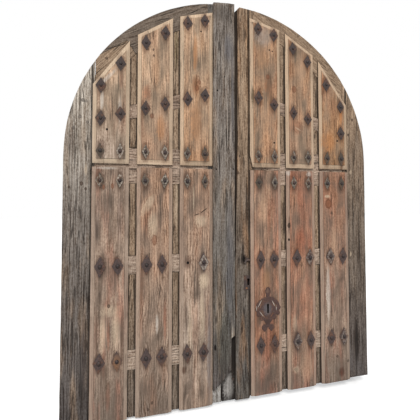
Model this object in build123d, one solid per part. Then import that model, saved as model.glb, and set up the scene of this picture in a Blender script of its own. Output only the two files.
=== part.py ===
from build123d import *
from dataclasses import dataclass
from math import cos, hypot, radians, sin, sqrt
import os

# Arched double door of two nailed timber leaves on a pegged frame, in millimetres.
# Measures are from the door's middle in X, from the front face of the leaf framing in Y
# and from the lowest corner of the leaves in Z. The part is placed once, when it is written.

# The arch and the joint between the leaves
arch_radius = 1150
spring_z = 1744
joint_x = -68
joint_gap = 4

# Timber sections of the leaves
framing_depth = 55
board_depth = 24
board_edge = 14
field_step = 2.5
border = 26
lower_border = 33
muntin_width = 100
felloe_inner = 988
tenon_length = 65
tenon_depth = 18
tenon_shoulder = 14
muntin_tenon = 30

# Heights of the boards and of the rails
upper_board_z = 1688
lower_board_top = 1667
board_top_radius = 1079
middle_rail_z, middle_rail_height = 1680, 245
waist_rail_z, waist_rail_height = 1008, 126
foot_rail_z, foot_rail_height = 381, 131
slanted_rail_height = 99

# Cover strip over the joint, with its broken lower corner
strip_left, strip_right = -139, 25
strip_depth = 28
strip_break = [(-139, 109), (-76, 162), (-6, 243), (-5, 462), (25, 480)]

# Step in the front of the right meeting stile, beside the strip
step_depth = 14
step_low, step_high = 33, 56

# Diamond plates by row, and the forged nails that hold them
upper_plate, middle_plate, lower_plate = (72, 108), (57, 113), (78, 140)
plate_edge, plate_rise = 2, 6
nail_head_radius, nail_head_rise = 14, 12
shank = 8
middle_nail_rows = (1576, 1772)
waist_nail_row, foot_nail_row = 1009, 390

# Strap hinges and their pintles
hinge_heights = (381, 1008, 1640)
hinge_inset = 22
eye_radius, pin_radius, running_clearance = 16, 9, 0.06
strap_thickness, strap_length, strap_width = 7, 640, 50
pintle_arm = 18
pintle_reach = 70

# Pegged frame behind the leaves
frame_gap = 2
frame_depth = 90
frame_outer, frame_width = 1108, 100
frame_lap_angle = 3.5
left_foot_z, right_foot_z = -8, 44
peg_radius = 10
peg_offset = 14
frame_tenon_width, frame_tenon_depth, frame_tenon_length = 60, 30, 70
fixing_radius = 6.5
fixing_heights = (695, 1345)

# Keyhole plates, locks and bolts of the right leaf
key_x, key_z = 278, 652
key_height, key_width = 66, 16
shield_lobes = [(-85, 0), (-73, -37), (-46, -67), (85, 2), (79, -36), (50, -66)]
shield_cuts = [(-57, 22, 72), (58, 22, 108), (-33, -50, 126), (34, -46, 52)]
small_key_x, small_key_z = 134, 849
small_key_height, small_key_width = 48, 17
lock_wall = 3
lock_bolt_z, lock_bolt_height, lock_bolt_thickness = 712, 38, 14
small_bolt_z, small_bolt_height, small_bolt_thickness = 886, 24, 10
bolt_standoff = 6
large_keeper_x, small_keeper_x, stile_staple_x = -142, -118, -44

# Upright bolts at the foot and at the head of the right leaf, drawn back
slide_x, slide_radius, slide_y = 60, 8, 75
guide_heights = (130, 330, 560, 2150, 2400, 2650)
guide_height = 22
foot_bolt_span, foot_handle_z = (34, 640), 450
head_bolt_span, head_handle_z = (2080, 2733), 2300

# Where the part stands: on the left foot, with the depth centred on the origin
front_reach = board_depth + plate_rise + nail_head_rise
back_reach = framing_depth + frame_gap + frame_depth
placing = Pos(0, (front_reach - back_reach) / 2, -left_foot_z)


@dataclass
class Leaf:
    """One leaf: its edges, boards, muntins, nail columns and sloping lines, from left to right."""
    side: str
    edges: tuple
    inner_edges: tuple
    boards: tuple
    upper_nails: tuple
    lower_nails: tuple
    top_nail_heights: tuple
    slanted_rail: tuple
    bottom: tuple
    outer: int


left_leaf = Leaf(
    side="left",
    edges=(-arch_radius, joint_x - joint_gap / 2),
    inner_edges=(-955, -172),
    boards=((-970, -728), (-677, -431), (-381, -140)),
    upper_nails=(-918, -790, -621, -487, -328, -201),
    lower_nails=(-911, -798, -608, -503, -326, -210),
    top_nail_heights=(2209, 2368, 2530, 2615, 2705, 2739),
    slanted_rail=((-917, 1989), (-200, 2196)),
    bottom=((-1150, 0), (-70, 18)),
    outer=-1,
)
right_leaf = Leaf(
    side="right",
    edges=(joint_x + joint_gap / 2, arch_radius),
    inner_edges=(183, 944),
    boards=((147, 394), (438, 679), (725, 976)),
    upper_nails=(212, 340, 500, 624, 789, 915),
    lower_nails=(223, 332, 519, 630, 808, 919),
    top_nail_heights=(2731, 2697, 2611, 2520, 2353, 2186),
    slanted_rail=((212, 2208), (911, 1976)),
    bottom=((147, 33), (1150, 57)),
    outer=1,
)


def on_line(line, x):
    """The height of a sloping line at x."""
    (ax, az), (bx, bz) = line
    return az + (bz - az) * (x - ax) / (bx - ax)


def arch_z(radius, x):
    """The height of an arc round the arch's centre at x."""
    return spring_z + sqrt(radius**2 - x**2)


def slab(sketch, front, back):
    """Stand a sketch of X and Z upright and give it thickness between two depths."""
    return extrude(Plane.XZ.offset(-back) * sketch, amount=back - front)


def outline(points):
    """A flat shape through corners given anticlockwise, seen from the front."""
    return Polygon(*points, align=None)


def rectangle(x0, x1, z0, z1):
    """A flat rectangle between two edges and two heights."""
    return Pos((x0 + x1) / 2, (z0 + z1) / 2) * Rectangle(x1 - x0, z1 - z0)


def block(x0, x1, y0, y1, z0, z1):
    """A squared block between its six faces."""
    return Pos((x0 + x1) / 2, (y0 + y1) / 2, (z0 + z1) / 2) * Box(x1 - x0, y1 - y0, z1 - z0)


def arch_disc(radius):
    """A full disc round the arch's centre."""
    return Pos(0, spring_z) * Circle(radius)


def door_face():
    """The outline of both leaves together: a semicircle on straight sides."""
    return arch_disc(arch_radius) + rectangle(-arch_radius, arch_radius, -50, spring_z)


def inset(corners, distances):
    """The corners of an outline after each edge moves inwards by its own distance."""
    lines = []
    for (ax, az), (bx, bz), distance in zip(corners, corners[1:] + corners[:1], distances):
        length = hypot(bx - ax, bz - az)
        nx, nz = (az - bz) / length, (bx - ax) / length
        lines.append((nx, nz, nx * ax + nz * az + distance))
    moved = []
    for (a, b, c), (d, e, f) in zip(lines[-1:] + lines[:-1], lines):
        det = a * e - b * d
        moved.append(((c * e - b * f) / det, (a * f - c * d) / det))
    return moved


def faceted(rings):
    """A solid of flat faces between outlines of equal corners, each at its own reach to the front."""
    rows = [[Vector(x, -reach, z) for x, z in corners] for corners, reach in rings]
    faces = [Face(Wire.make_polygon(rows[0])), Face(Wire.make_polygon(rows[-1]))]
    for back, front in zip(rows, rows[1:]):
        for a, b, c, d in zip(back, back[1:] + back[:1], front[1:] + front[:1], front):
            faces.append(Face(Wire.make_polygon([a, b, c, d])))
    return Solid(Shell(faces))


def fielded_board(corners, borders):
    """A board on the front of the framing: bevelled borders and a field raised by a small step."""
    field = inset(corners, borders)
    bevelled = faceted([(corners, 0), (corners, board_edge), (field, board_depth - field_step)])
    return bevelled + slab(outline(field), -board_depth, field_step - board_depth)


def upper_board(x0, x1):
    """An upper board: its head is cut straight between two points under the arch."""
    corners = [
        (x0, upper_board_z),
        (x1, upper_board_z),
        (x1, arch_z(board_top_radius, x1)),
        (x0, arch_z(board_top_radius, x0)),
    ]
    return fielded_board(corners, (lower_border, border, border, border))


def clipped_corner():
    """The corner that is lost from the foot of upper board 4, beside the joint."""
    x = right_leaf.boards[0][0]
    loss = outline([(x - 1, upper_board_z - 1), (x + 20, upper_board_z - 1), (x - 1, upper_board_z + 92)])
    return slab(loss, -board_depth - 1, 0)


def lower_board(leaf, x0, x1):
    """A lower board: bevelled at its sides and cut to the leaf's sloping foot."""
    corners = [
        (x0, on_line(leaf.bottom, x0)),
        (x1, on_line(leaf.bottom, x1)),
        (x1, lower_board_top),
        (x0, lower_board_top),
    ]
    return fielded_board(corners, (0, border, 0, border))


def tenon(x0, x1, z0, z1):
    """A tenon in the middle of the framing's thickness."""
    front = (framing_depth - tenon_depth) / 2
    return slab(rectangle(x0, x1, z0, z1), front, front + tenon_depth)


def rail(leaf, line, height):
    """A rail between the stiles on a centre line, and the tenons that it has at its ends."""
    x0, x1 = leaf.inner_edges
    half = height / 2
    z0, z1 = on_line(line, x0), on_line(line, x1)
    body = slab(outline([(x0, z0 - half), (x1, z1 - half), (x1, z1 + half), (x0, z0 + half)]),
                0, framing_depth)
    reach = half - tenon_shoulder
    ends = [
        tenon(x0 - tenon_length, x0 + 1, z0 - reach, z0 + reach),
        tenon(x1 - 1, x1 + tenon_length, z1 - reach, z1 + reach),
    ]
    for side in (0, 1):
        inside = slab(rectangle(x0, x1, z0 - 2 * height, z1 + 2 * height), 0, framing_depth)
        ends[side] = ends[side] - inside
    return body + ends, ends


def level(z):
    """A level centre line."""
    return ((-arch_radius, z), (arch_radius, z))


def rails(leaf):
    """The four rails of a leaf with their lines, from the foot up."""
    return {
        "foot_rail": (level(foot_rail_z), foot_rail_height),
        "waist_rail": (level(waist_rail_z), waist_rail_height),
        "middle_rail": (level(middle_rail_z), middle_rail_height),
        "slanted_rail": (leaf.slanted_rail, slanted_rail_height),
    }


def muntin_centres(leaf):
    """The muntins stand behind the gaps between the boards."""
    return [(a[1] + b[0]) / 2 for a, b in zip(leaf.boards, leaf.boards[1:])]


def muntin(leaf, centre, lower, upper):
    """A muntin from one rail to the next, and its stub tenons. None stands for the leaf's edge."""
    x0, x1 = centre - muntin_width / 2, centre + muntin_width / 2
    low, high = leaf.bottom, None
    if lower:
        line, height = lower
        low = [(x, z + height / 2) for x, z in line]
    if upper:
        line, height = upper
        high = [(x, z - height / 2) for x, z in line]
        top = [(x1, on_line(high, x1)), (x0, on_line(high, x0))]
    else:
        top = [(x1, spring_z + felloe_inner), (x0, spring_z + felloe_inner)]
    shape = outline([(x0, on_line(low, x0)), (x1, on_line(low, x1))] + top)
    if not upper:
        shape = shape & arch_disc(felloe_inner)
    body = slab(shape, 0, framing_depth)
    stubs = []
    half = muntin_width / 2 - tenon_shoulder
    if lower:
        z = on_line(low, centre)
        stubs.append(tenon(centre - half, centre + half, z - muntin_tenon, z + 40) - body)
    z = on_line(high, centre) if upper else arch_z(felloe_inner, centre)
    stubs.append(tenon(centre - half, centre + half, z - 60, z + muntin_tenon) - body)
    return body + stubs, stubs


def muntins(leaf):
    """All muntins of a leaf below and above the middle rail, and their stub tenons."""
    courses = [None] + list(rails(leaf).values()) + [None]
    lower, upper, stubs = [], [], []
    for centre in muntin_centres(leaf):
        for index, (below, above) in enumerate(zip(courses, courses[1:])):
            solid, ends = muntin(leaf, centre, below, above)
            (lower if index < 3 else upper).append(solid)
            stubs += ends
    return lower, upper, stubs


def hanging_stile(leaf):
    """The wide stile on the hinge side, rounded off by the arch."""
    x0, x1 = sorted((leaf.outer * arch_radius, leaf.inner_edges[0 if leaf.outer < 0 else 1]))
    z0, z1 = (on_line(leaf.bottom, x) for x in (x0, x1))
    strip = outline([(x0, z0), (x1, z1), (x1, spring_z + arch_radius), (x0, spring_z + arch_radius)])
    return slab(strip & door_face(), 0, framing_depth)


def left_meeting_stile():
    """The narrow stile under the cover strip."""
    x0, x1 = left_leaf.inner_edges[1], left_leaf.edges[1]
    z0, z1 = (on_line(left_leaf.bottom, x) for x in (x0, x1))
    strip = outline([(x0, z0), (x1, z1), (x1, spring_z + arch_radius), (x0, spring_z + arch_radius)])
    return slab(strip & door_face(), 0, framing_depth)


def right_meeting_stile():
    """The wide meeting stile: worn foot and head, a step beside the strip and a keyhole."""
    x0, x1 = right_leaf.edges[0], right_leaf.inner_edges[0]
    foot = [(x0, 12), (139, 12), (147, 33), (x1, on_line(right_leaf.bottom, x1))]
    head = [(x1, spring_z + arch_radius), (76, spring_z + arch_radius), (68, 2887), (29, 2847), (x0, 2845)]
    body = slab(outline(foot + head) & door_face(), 0, framing_depth)
    step = outline([(x0 - 1, 0), (step_low, 0), (step_low, 900), (step_high, 1900), (step_high, 3000),
                    (x0 - 1, 3000)])
    return body - slab(step, 0, step_depth) - key_way(small_key_x, small_key_z, 20, 54, 0, framing_depth)


def keyhole(x, z, height, width):
    """A keyhole: a round head over a slot."""
    head = Pos(x, z + (height - width) / 2) * Circle(width / 2)
    slot_half = width * 0.38
    return head + rectangle(x - slot_half, x + slot_half, z - height / 2, z + height / 2 - width / 2)


def key_way(x, z, width, height, front, back):
    """The squared hole that is chopped through the timber behind a keyhole."""
    return block(x - width / 2, x + width / 2, front, back, z - height / 2, z + height / 2)


def felloe_ring(x0, x1):
    """The part of the arch's wooden ring between two upright lines."""
    ring = arch_disc(arch_radius) - arch_disc(felloe_inner)
    return ring & rectangle(x0, x1, spring_z, spring_z + arch_radius + 1)


def felloe_tenons(leaf):
    """The tenons at the two ends of a leaf's curved head."""
    made = []
    for x, side in zip(leaf.inner_edges, (-1, 1)):
        low, high = arch_z(felloe_inner, x), arch_z(arch_radius, x)
        margin = (high - low) * 0.25
        inward, outward = sorted((x, x + side * tenon_length * 0.8))
        made.append(tenon(inward, outward, low + margin, high - margin))
    return made


def left_felloes():
    """The left head in two lengths, joined by a splayed scarf with a nib at its inner end."""
    x0, x1 = left_leaf.inner_edges
    cut = outline([(-1300, 1700), (-600, 1700), (-690, 2455), (-749, 2543), (-910, 2435), (-1300, 2174)])
    ring = felloe_ring(x0, x1)
    first, second = felloe_tenons(left_leaf)
    lower = slab(ring & cut, 0, framing_depth) + first
    upper = slab(ring - cut, 0, framing_depth) + second
    return lower, upper, [first, second]


def right_felloe():
    """The right head in one length."""
    ends = felloe_tenons(right_leaf)
    return slab(felloe_ring(*right_leaf.inner_edges), 0, framing_depth) + ends, ends


def cover_strip():
    """The strip on the left leaf that laps the right one, broken off at its lower corner."""
    corners = strip_break + [(strip_right, spring_z + arch_radius), (strip_left, spring_z + arch_radius)]
    board = slab(outline(corners) & door_face(), -strip_depth, 0)
    rounding = 7
    for x, side in ((strip_left, 1), (strip_right, -1)):
        edge = Pos(x, -strip_depth, 1500) * Rot(0, 0, 45) * Box(rounding, rounding, 2600)
        board = board - edge
    return board


def nail_places(leaf):
    """The nails of a leaf: one row on the arch, then the slanted, middle, waist and foot rows."""
    places = list(zip(leaf.upper_nails, leaf.top_nail_heights))
    places += [(x, on_line(leaf.slanted_rail, x)) for x in leaf.upper_nails]
    places += [(x, z) for z in reversed(middle_nail_rows) for x in leaf.upper_nails]
    places += [(x, z) for z in (waist_nail_row, foot_nail_row) for x in leaf.lower_nails]
    return [place for place in places if not lost_nail(place)]


def lost_nail(place):
    """One nail is lost from each leaf: in the left waist row and in the right slanted row."""
    x, z = place
    left_lost = x == left_leaf.lower_nails[4] and z == waist_nail_row
    right_lost = x == right_leaf.upper_nails[4] and z == on_line(right_leaf.slanted_rail, x)
    return left_lost or right_lost


def nail_holes(places, front, back):
    """Square holes for the shanks through everything between two depths."""
    return [block(x - shank / 2, x + shank / 2, front, back, z - shank / 2, z + shank / 2)
            for x, z in places]


def rhombus(width, height):
    """The corners of a diamond about its middle."""
    return [(0, -height / 2), (width / 2, 0), (0, height / 2), (-width / 2, 0)]


def diamond_plate(width, height):
    """A low pyramid of sheet iron, its back on the origin."""
    return faceted([
        (rhombus(width, height), 0),
        (rhombus(width, height), plate_edge),
        (rhombus(width / 4, height / 4), plate_rise),
    ])


def octagon(radius):
    """The corners of an octagon about its middle."""
    return [(radius * cos(radians(a)), radius * sin(radians(a))) for a in range(0, 360, 45)]


def forged_nail():
    """A square nail with a faceted round head, the head's underside on the origin."""
    head = faceted([
        (octagon(nail_head_radius), 0),
        (octagon(nail_head_radius * 0.8), nail_head_rise * 0.55),
        (octagon(nail_head_radius * 0.3), nail_head_rise),
    ])
    length = plate_rise + board_depth + framing_depth
    return head + block(-shank / 2, shank / 2, 0, length, -shank / 2, shank / 2)


def plate_turn(index):
    """Each plate was set by hand, a few degrees off upright."""
    return 3.5 * sin(2.4 * index)


def studs(leaf):
    """All plates and nails of a leaf."""
    upper, middle, lower = (diamond_plate(*size) for size in (upper_plate, middle_plate, lower_plate))
    nail = forged_nail()
    plates, nails = [], []
    for index, (x, z) in enumerate(nail_places(leaf)):
        plate = middle if z in middle_nail_rows else upper if z > middle_rail_z else lower
        hole = block(x - shank / 2, x + shank / 2, -60, 0, z - shank / 2, z + shank / 2)
        plates.append(Pos(x, -board_depth, z) * Rot(0, plate_turn(index), 0) * plate - hole)
        nails.append(Pos(x, -board_depth - plate_rise, z) * nail)
    return plates, nails


def strap_outline(x, outer, z):
    """A strap from the pin towards the joint: it tapers, and ends in a spear."""
    half, neck, spear = strap_width / 2, strap_width * 0.3, strap_width * 0.44
    profile = [(0, half), (strap_length * 0.72, neck), (strap_length * 0.76, spear),
               (strap_length * 0.86, spear), (strap_length, 0)]
    points = profile + [(along, -across) for along, across in reversed(profile[:-1])]
    corners = [(x - outer * along, z + across) for along, across in points]
    return outline(corners if outer > 0 else corners[::-1])


def strap_hinge(leaf, z):
    """A forged strap on the back of the leaf, rolled into an eye round the pin."""
    x = leaf.outer * (arch_radius - hinge_inset)
    y = framing_depth + eye_radius
    strap = slab(strap_outline(x, leaf.outer, z), framing_depth, framing_depth + strap_thickness)
    eye = Pos(x, y, z) * Cylinder(eye_radius, strap_width)
    bore = Pos(x, y, z) * Cylinder(pin_radius + running_clearance, strap_width + 2)
    return strap + eye - bore


def pintle_arm_block(leaf, z, reach):
    """The arm of a pintle, from the pin into the post."""
    x, y = leaf.outer * (arch_radius - hinge_inset), framing_depth + eye_radius
    top = z - strap_width / 2 - 0.5
    outer, inner = sorted((x + leaf.outer * pin_radius, leaf.outer * (frame_outer - reach)))
    return block(outer, inner, y - pintle_arm / 2, y + pintle_arm / 2, top - pintle_arm, top)


def pintle(leaf, z):
    """A pin on a squared arm that is driven into the post."""
    x, y = leaf.outer * (arch_radius - hinge_inset), framing_depth + eye_radius
    low, high = z - strap_width / 2 - 0.5 - pintle_arm, z + strap_width / 2 + 8
    pin = Pos(x, y, (low + high) / 2) * Cylinder(pin_radius, high - low)
    pin = chamfer(pin.edges().group_by(Axis.Z)[-1], 2)
    return pin + pintle_arm_block(leaf, z, pintle_reach)


def frame_post(leaf, foot_z):
    """A post behind the hanging stile, let in for the straps and drilled for its fixings."""
    front, back = framing_depth + frame_gap, framing_depth + frame_gap + frame_depth
    x0, x1 = sorted((leaf.outer * frame_outer, leaf.outer * (frame_outer - frame_width)))
    post = block(x0, x1, front, back, foot_z, spring_z)
    for z in hinge_heights:
        notch = strap_width / 2 + 5
        post = post - block(x0 - 1, x1 + 1, front - 1, front + 8, z - notch, z + notch)
        post = post - pintle_arm_block(leaf, z, pintle_reach)
    for z in fixing_heights:
        post = post - Pos((x0 + x1) / 2, (front + back) / 2, z) * Rot(0, 90, 0) * Cylinder(
            fixing_radius, frame_width + 2)
    return post - frame_tenon(leaf)


def frame_tenon(leaf):
    """The tenon of the arch that stands in the head of a post."""
    centre = leaf.outer * (frame_outer - frame_width / 2)
    middle = framing_depth + frame_gap + frame_depth / 2
    width, depth = frame_tenon_width / 2, frame_tenon_depth / 2
    return block(centre - width, centre + width, middle - depth, middle + depth,
                 spring_z - frame_tenon_length, spring_z)


def frame_sector(start, end, front, back):
    """A stretch of the frame's arch between two angles and two depths."""
    ring = Circle(frame_outer) - Circle(frame_outer - frame_width)
    reach = 2 * frame_outer
    middle = radians((start + end) / 2)
    wedge = outline([
        (0, 0),
        (reach * cos(radians(start)), reach * sin(radians(start))),
        (reach * cos(middle), reach * sin(middle)),
        (reach * cos(radians(end)), reach * sin(radians(end))),
    ])
    return slab(Pos(0, spring_z) * (ring & wedge), front, back)


def frame_arch():
    """The frame's arch in three lengths, halved over each other and pegged."""
    front = framing_depth + frame_gap
    middle, back = front + frame_depth / 2, front + frame_depth
    lap = frame_lap_angle
    right = frame_sector(0, 60 - lap, front, back) + frame_sector(60 - lap, 60 + lap, front, middle)
    left = frame_sector(120 + lap, 180, front, back) + frame_sector(120 - lap, 120 + lap, front, middle)
    crown = frame_sector(60 + lap, 120 - lap, front, back)
    crown = crown + frame_sector(60 - lap, 60 + lap, middle, back)
    crown = crown + frame_sector(120 - lap, 120 + lap, middle, back)
    keeper = Pos(slide_x, slide_y, spring_z + frame_outer - frame_width) * Cylinder(
        slide_radius + 2.5, 120)
    return left + frame_tenon(left_leaf), crown - keeper, right + frame_tenon(right_leaf)


def frame_pegs():
    """Eight-sided pegs through the posts' tenons and through the laps of the arch."""
    front = framing_depth + frame_gap
    ring = frame_outer - frame_width / 2
    places = [(side * ring + offset, spring_z - frame_tenon_length / 2)
              for side in (-1, 1) for offset in (-peg_offset, peg_offset)]
    for angle in (60, 120):
        for turn in (-1.8, 1.8):
            a = radians(angle + turn)
            places.append((ring * cos(a), spring_z + ring * sin(a)))
    section = outline(octagon(peg_radius))
    return [slab(Pos(x, z) * section, front, front + frame_depth) for x, z in places]


def escutcheon():
    """The large keyhole plate: a bulb on a broad shield with lobed sides, over a foot of two lobes."""
    shield = Pos(0, 8) * Ellipse(94, 78) + outline([(-48, -62), (-14, -112), (14, -112), (48, -62)])
    for x, z in shield_lobes:
        shield = shield + Pos(x, z) * Circle(17)
    shield = shield + Pos(0, 125) * Ellipse(22, 31) + rectangle(-13, 13, 78, 104)
    shield = shield + rectangle(-15, 15, -136, -104)
    for side in (-1, 1):
        shield = shield + Pos(27 * side, -135) * Ellipse(23, 23)
        shield = shield + outline([(27 * side - 19, -146), (27 * side, -168), (27 * side + 19, -146)])
    for x, z, turn in shield_cuts:
        shield = shield - Pos(x, z) * Rot(0, 0, turn) * SlotOverall(38, 7)
    plate = slab(Pos(key_x, key_z) * shield, -board_depth - 4, -board_depth)
    return plate - slab(keyhole(key_x, key_z, key_height, key_width), -board_depth - 10, -board_depth)


def small_keyhole_plate():
    """The small plate on the meeting stile, bent a little out of square."""
    x, z = small_key_x - 4, small_key_z - 5
    shape = outline([(x - 32, z - 53), (x + 15, z - 55), (x + 16, z + 53), (x - 30, z + 54)])
    plate = slab(shape, -3, 0)
    return plate - slab(keyhole(small_key_x, small_key_z, small_key_height, small_key_width), -10, 0)


def pull_staple():
    """What is left of a pull: a staple in the stile with the stub of a ring."""
    x, z = 124, 1009
    rose = slab(Pos(x, z) * RegularPolygon(17, 8), -4, 0)
    legs = block(x - 5, x + 5, -20, 0, z - 5, z + 5)
    stub = Pos(x + 5, -16, z) * Rot(0, 90, 0) * Cylinder(7, 32)
    hook = Pos(x - 14, -16, z - 8) * Rot(0, 35, 0) * Box(9, 9, 30)
    return rose + legs + stub + hook


def lock_box(x0, x1, z0, z1, depth, hole, slot):
    """A lock's iron case on the back of the leaf: keyholes in both sides, a slot for the bolt."""
    outer = block(x0, x1, framing_depth, framing_depth + depth, z0, z1)
    inner = block(x0 + lock_wall, x1 - lock_wall, framing_depth + lock_wall,
                  framing_depth + depth - lock_wall, z0 + lock_wall, z1 - lock_wall)
    return outer - inner - slab(hole, framing_depth - 1, framing_depth + depth + 1) - slot


def bolt_bar(x0, x1, z, height, thickness, clearance=0.0):
    """A flat bolt, or the room round it, held off the back of the leaf."""
    half = height / 2 + clearance
    front = framing_depth + bolt_standoff
    return block(x0, x1, front - clearance, front + thickness + clearance, z - half, z + half)


def lock_case():
    """The large lock across the stile and the first muntin, behind the large keyhole plate."""
    slot = bolt_bar(120, 160, lock_bolt_z, lock_bolt_height, lock_bolt_thickness, 0.5)
    return lock_box(140, 412, 590, 752, 42, keyhole(key_x, key_z, key_height, key_width), slot)


def lock_bolt():
    """The large bolt, drawn back, with the two talons that the key pushes."""
    bar = bolt_bar(-56, 320, lock_bolt_z, lock_bolt_height, lock_bolt_thickness)
    talons = [bolt_bar(x, x + 16, lock_bolt_z - 24, 12, lock_bolt_thickness) for x in (245, 302)]
    return bar + talons


def small_lock_case():
    """The small lock on the back of the meeting stile."""
    slot = bolt_bar(50, 80, small_bolt_z, small_bolt_height, small_bolt_thickness, 0.5)
    hole = keyhole(small_key_x, small_key_z, small_key_height, small_key_width)
    return lock_box(66, 178, 806, 908, 30, hole, slot)


def small_lock_bolt():
    """The small bolt, drawn back."""
    return bolt_bar(-54, 168, small_bolt_z, small_bolt_height, small_bolt_thickness)


def flat_staple(x, z, height, thickness):
    """A staple over a flat bolt, with feet on the back of the stile."""
    width, metal = 22, 5
    depth = bolt_standoff + thickness + 1 + metal
    loop = block(x, x + width, framing_depth, framing_depth + depth,
                 z - height / 2 - 1 - metal, z + height / 2 + 1 + metal)
    feet = block(x, x + width, framing_depth, framing_depth + metal,
                 z - height / 2 - 24, z + height / 2 + 24)
    window = block(x - 1, x + width + 1, framing_depth - 1, framing_depth + depth - metal,
                   z - height / 2 - 1, z + height / 2 + 1)
    return loop + feet - window


def bolt_keepers():
    """The staples on the left leaf that the two bolts shoot into."""
    return [flat_staple(large_keeper_x, lock_bolt_z, lock_bolt_height, lock_bolt_thickness),
            flat_staple(small_keeper_x, small_bolt_z, small_bolt_height, small_bolt_thickness)]


def slide_guide(z):
    """A forged loop for an upright bolt, on a plate with two ears."""
    low, high = z - guide_height / 2, z + guide_height / 2
    plate = block(slide_x - 34, slide_x + 34, framing_depth, framing_depth + 5, low, high)
    ring = Pos(slide_x, slide_y, z) * Cylinder(slide_radius + 6, guide_height)
    web = block(slide_x - 10, slide_x + 10, framing_depth, slide_y, low, high)
    bore = Pos(slide_x, slide_y, z) * Cylinder(slide_radius + running_clearance, guide_height + 2)
    return plate + web + ring - bore


def bolt_guides():
    """Every loop and staple on the right leaf that carries a bolt."""
    uprights = [slide_guide(z) for z in guide_heights]
    large = flat_staple(stile_staple_x, lock_bolt_z, lock_bolt_height, lock_bolt_thickness)
    small = flat_staple(stile_staple_x, small_bolt_z, small_bolt_height, small_bolt_thickness)
    return uprights + [large, small]


def slide_bolt(span, handle_z):
    """A round upright bolt with a ball-ended handle."""
    low, high = span
    bar = Pos(slide_x, slide_y, (low + high) / 2) * Cylinder(slide_radius, high - low)
    bar = chamfer(bar.edges().filter_by(GeomType.CIRCLE), 2)
    arm = Pos(slide_x, slide_y + 13, handle_z) * Rot(90, 0, 0) * Cylinder(5, 26)
    knob = Pos(slide_x, slide_y + 26, handle_z) * Sphere(9)
    return bar + arm + knob


def leaf_nodes(leaf):
    """Every piece of timber and ironwork that both leaves have."""
    places = nail_places(leaf)
    through = nail_holes(places, 0, framing_depth)
    boards = nail_holes(places, -board_depth, 0)
    lower_muntins, upper_muntins, stubs = muntins(leaf)
    nodes, mortises = {}, []
    for name, (line, height) in rails(leaf).items():
        solid, ends = rail(leaf, line, height)
        mortises += ends
        if name == "slanted_rail":
            solid = solid - slab(felloe_ring(*leaf.inner_edges), 0, framing_depth)
        nodes[f"{leaf.side}_{name}"] = solid - stubs - through
    nodes[f"{leaf.side}_lower_muntins"] = lower_muntins
    nodes[f"{leaf.side}_upper_muntins"] = upper_muntins
    if leaf is left_leaf:
        lower, upper, ends = left_felloes()
        nodes["left_arch_lower_felloe"] = lower - stubs - through
        nodes["left_arch_upper_felloe"] = upper - stubs - through
        meeting = left_meeting_stile()
    else:
        head, ends = right_felloe()
        nodes["right_arch_felloe"] = head - stubs - through
        meeting = right_meeting_stile()
    mortises += ends
    nodes[f"{leaf.side}_hanging_stile"] = hanging_stile(leaf) - mortises
    nodes[f"{leaf.side}_meeting_stile"] = meeting - mortises
    first = 1 if leaf is left_leaf else 4
    for number, (x0, x1) in enumerate(leaf.boards, first):
        nodes[f"{leaf.side}_upper_board_{number}"] = upper_board(x0, x1) - boards
        nodes[f"{leaf.side}_lower_board_{number}"] = lower_board(leaf, x0, x1) - boards
    plates, nails = studs(leaf)
    nodes[f"{leaf.side}_diamond_plates"] = plates
    nodes[f"{leaf.side}_forged_nails"] = nails
    nodes[f"{leaf.side}_strap_hinges"] = [strap_hinge(leaf, z) for z in hinge_heights]
    nodes[f"{leaf.side}_hinge_pintles"] = [pintle(leaf, z) for z in hinge_heights]
    return nodes


def frame_nodes():
    """The frame that stands behind the leaves and carries them."""
    pegs = frame_pegs()
    left, crown, right = frame_arch()
    return {
        "frame_left_post": frame_post(left_leaf, left_foot_z) - pegs,
        "frame_right_post": frame_post(right_leaf, right_foot_z) - pegs,
        "frame_arch_left_felloe": left - pegs,
        "frame_arch_crown_felloe": crown - pegs,
        "frame_arch_right_felloe": right - pegs,
        "frame_pegs": pegs,
    }


def lock_nodes():
    """The keyhole plates, locks and bolts."""
    return {
        "keyhole_escutcheon": escutcheon(),
        "small_keyhole_plate": small_keyhole_plate(),
        "pull_staple": pull_staple(),
        "lock_case": lock_case(),
        "lock_bolt": lock_bolt(),
        "small_lock_case": small_lock_case(),
        "small_lock_bolt": small_lock_bolt(),
        "bolt_keepers": bolt_keepers(),
        "bolt_guides": bolt_guides(),
        "foot_bolt": slide_bolt(foot_bolt_span, foot_handle_z),
        "head_bolt": slide_bolt(head_bolt_span, head_handle_z),
    }


def all_nodes():
    """Every node of the door by name."""
    nodes = frame_nodes() | leaf_nodes(left_leaf) | leaf_nodes(right_leaf) | lock_nodes()
    nodes["cover_strip"] = cover_strip()
    hole = key_way(key_x, key_z, 26, 78, -board_depth, 0)
    nodes["right_lower_board_4"] = nodes["right_lower_board_4"] - hole
    nodes["right_upper_board_4"] = nodes["right_upper_board_4"] - clipped_corner()
    return nodes


def write(name, shape):
    """Write one node where the part stands; a list is a group of separate solids."""
    solids = []
    for piece in shape if isinstance(shape, list) else [shape]:
        solids += (placing * piece).solids()
    export_step(Compound(solids), f"parts/{name}.step")


os.makedirs("parts", exist_ok=True)
for node_name, node_shape in all_nodes().items():
    write(node_name, node_shape)
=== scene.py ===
"""Looks of an old arched double door: weathered boards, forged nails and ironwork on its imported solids.

Measures are in millimetres from the door's middle in X, from the front of the leaf framing in Y and from the
lowest corner of the leaves in Z, as in the part's source. They are turned into the part's metres when used.
"""

from __future__ import annotations

import logging
import math
from collections.abc import Sequence
from dataclasses import dataclass, field
from enum import Enum

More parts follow.
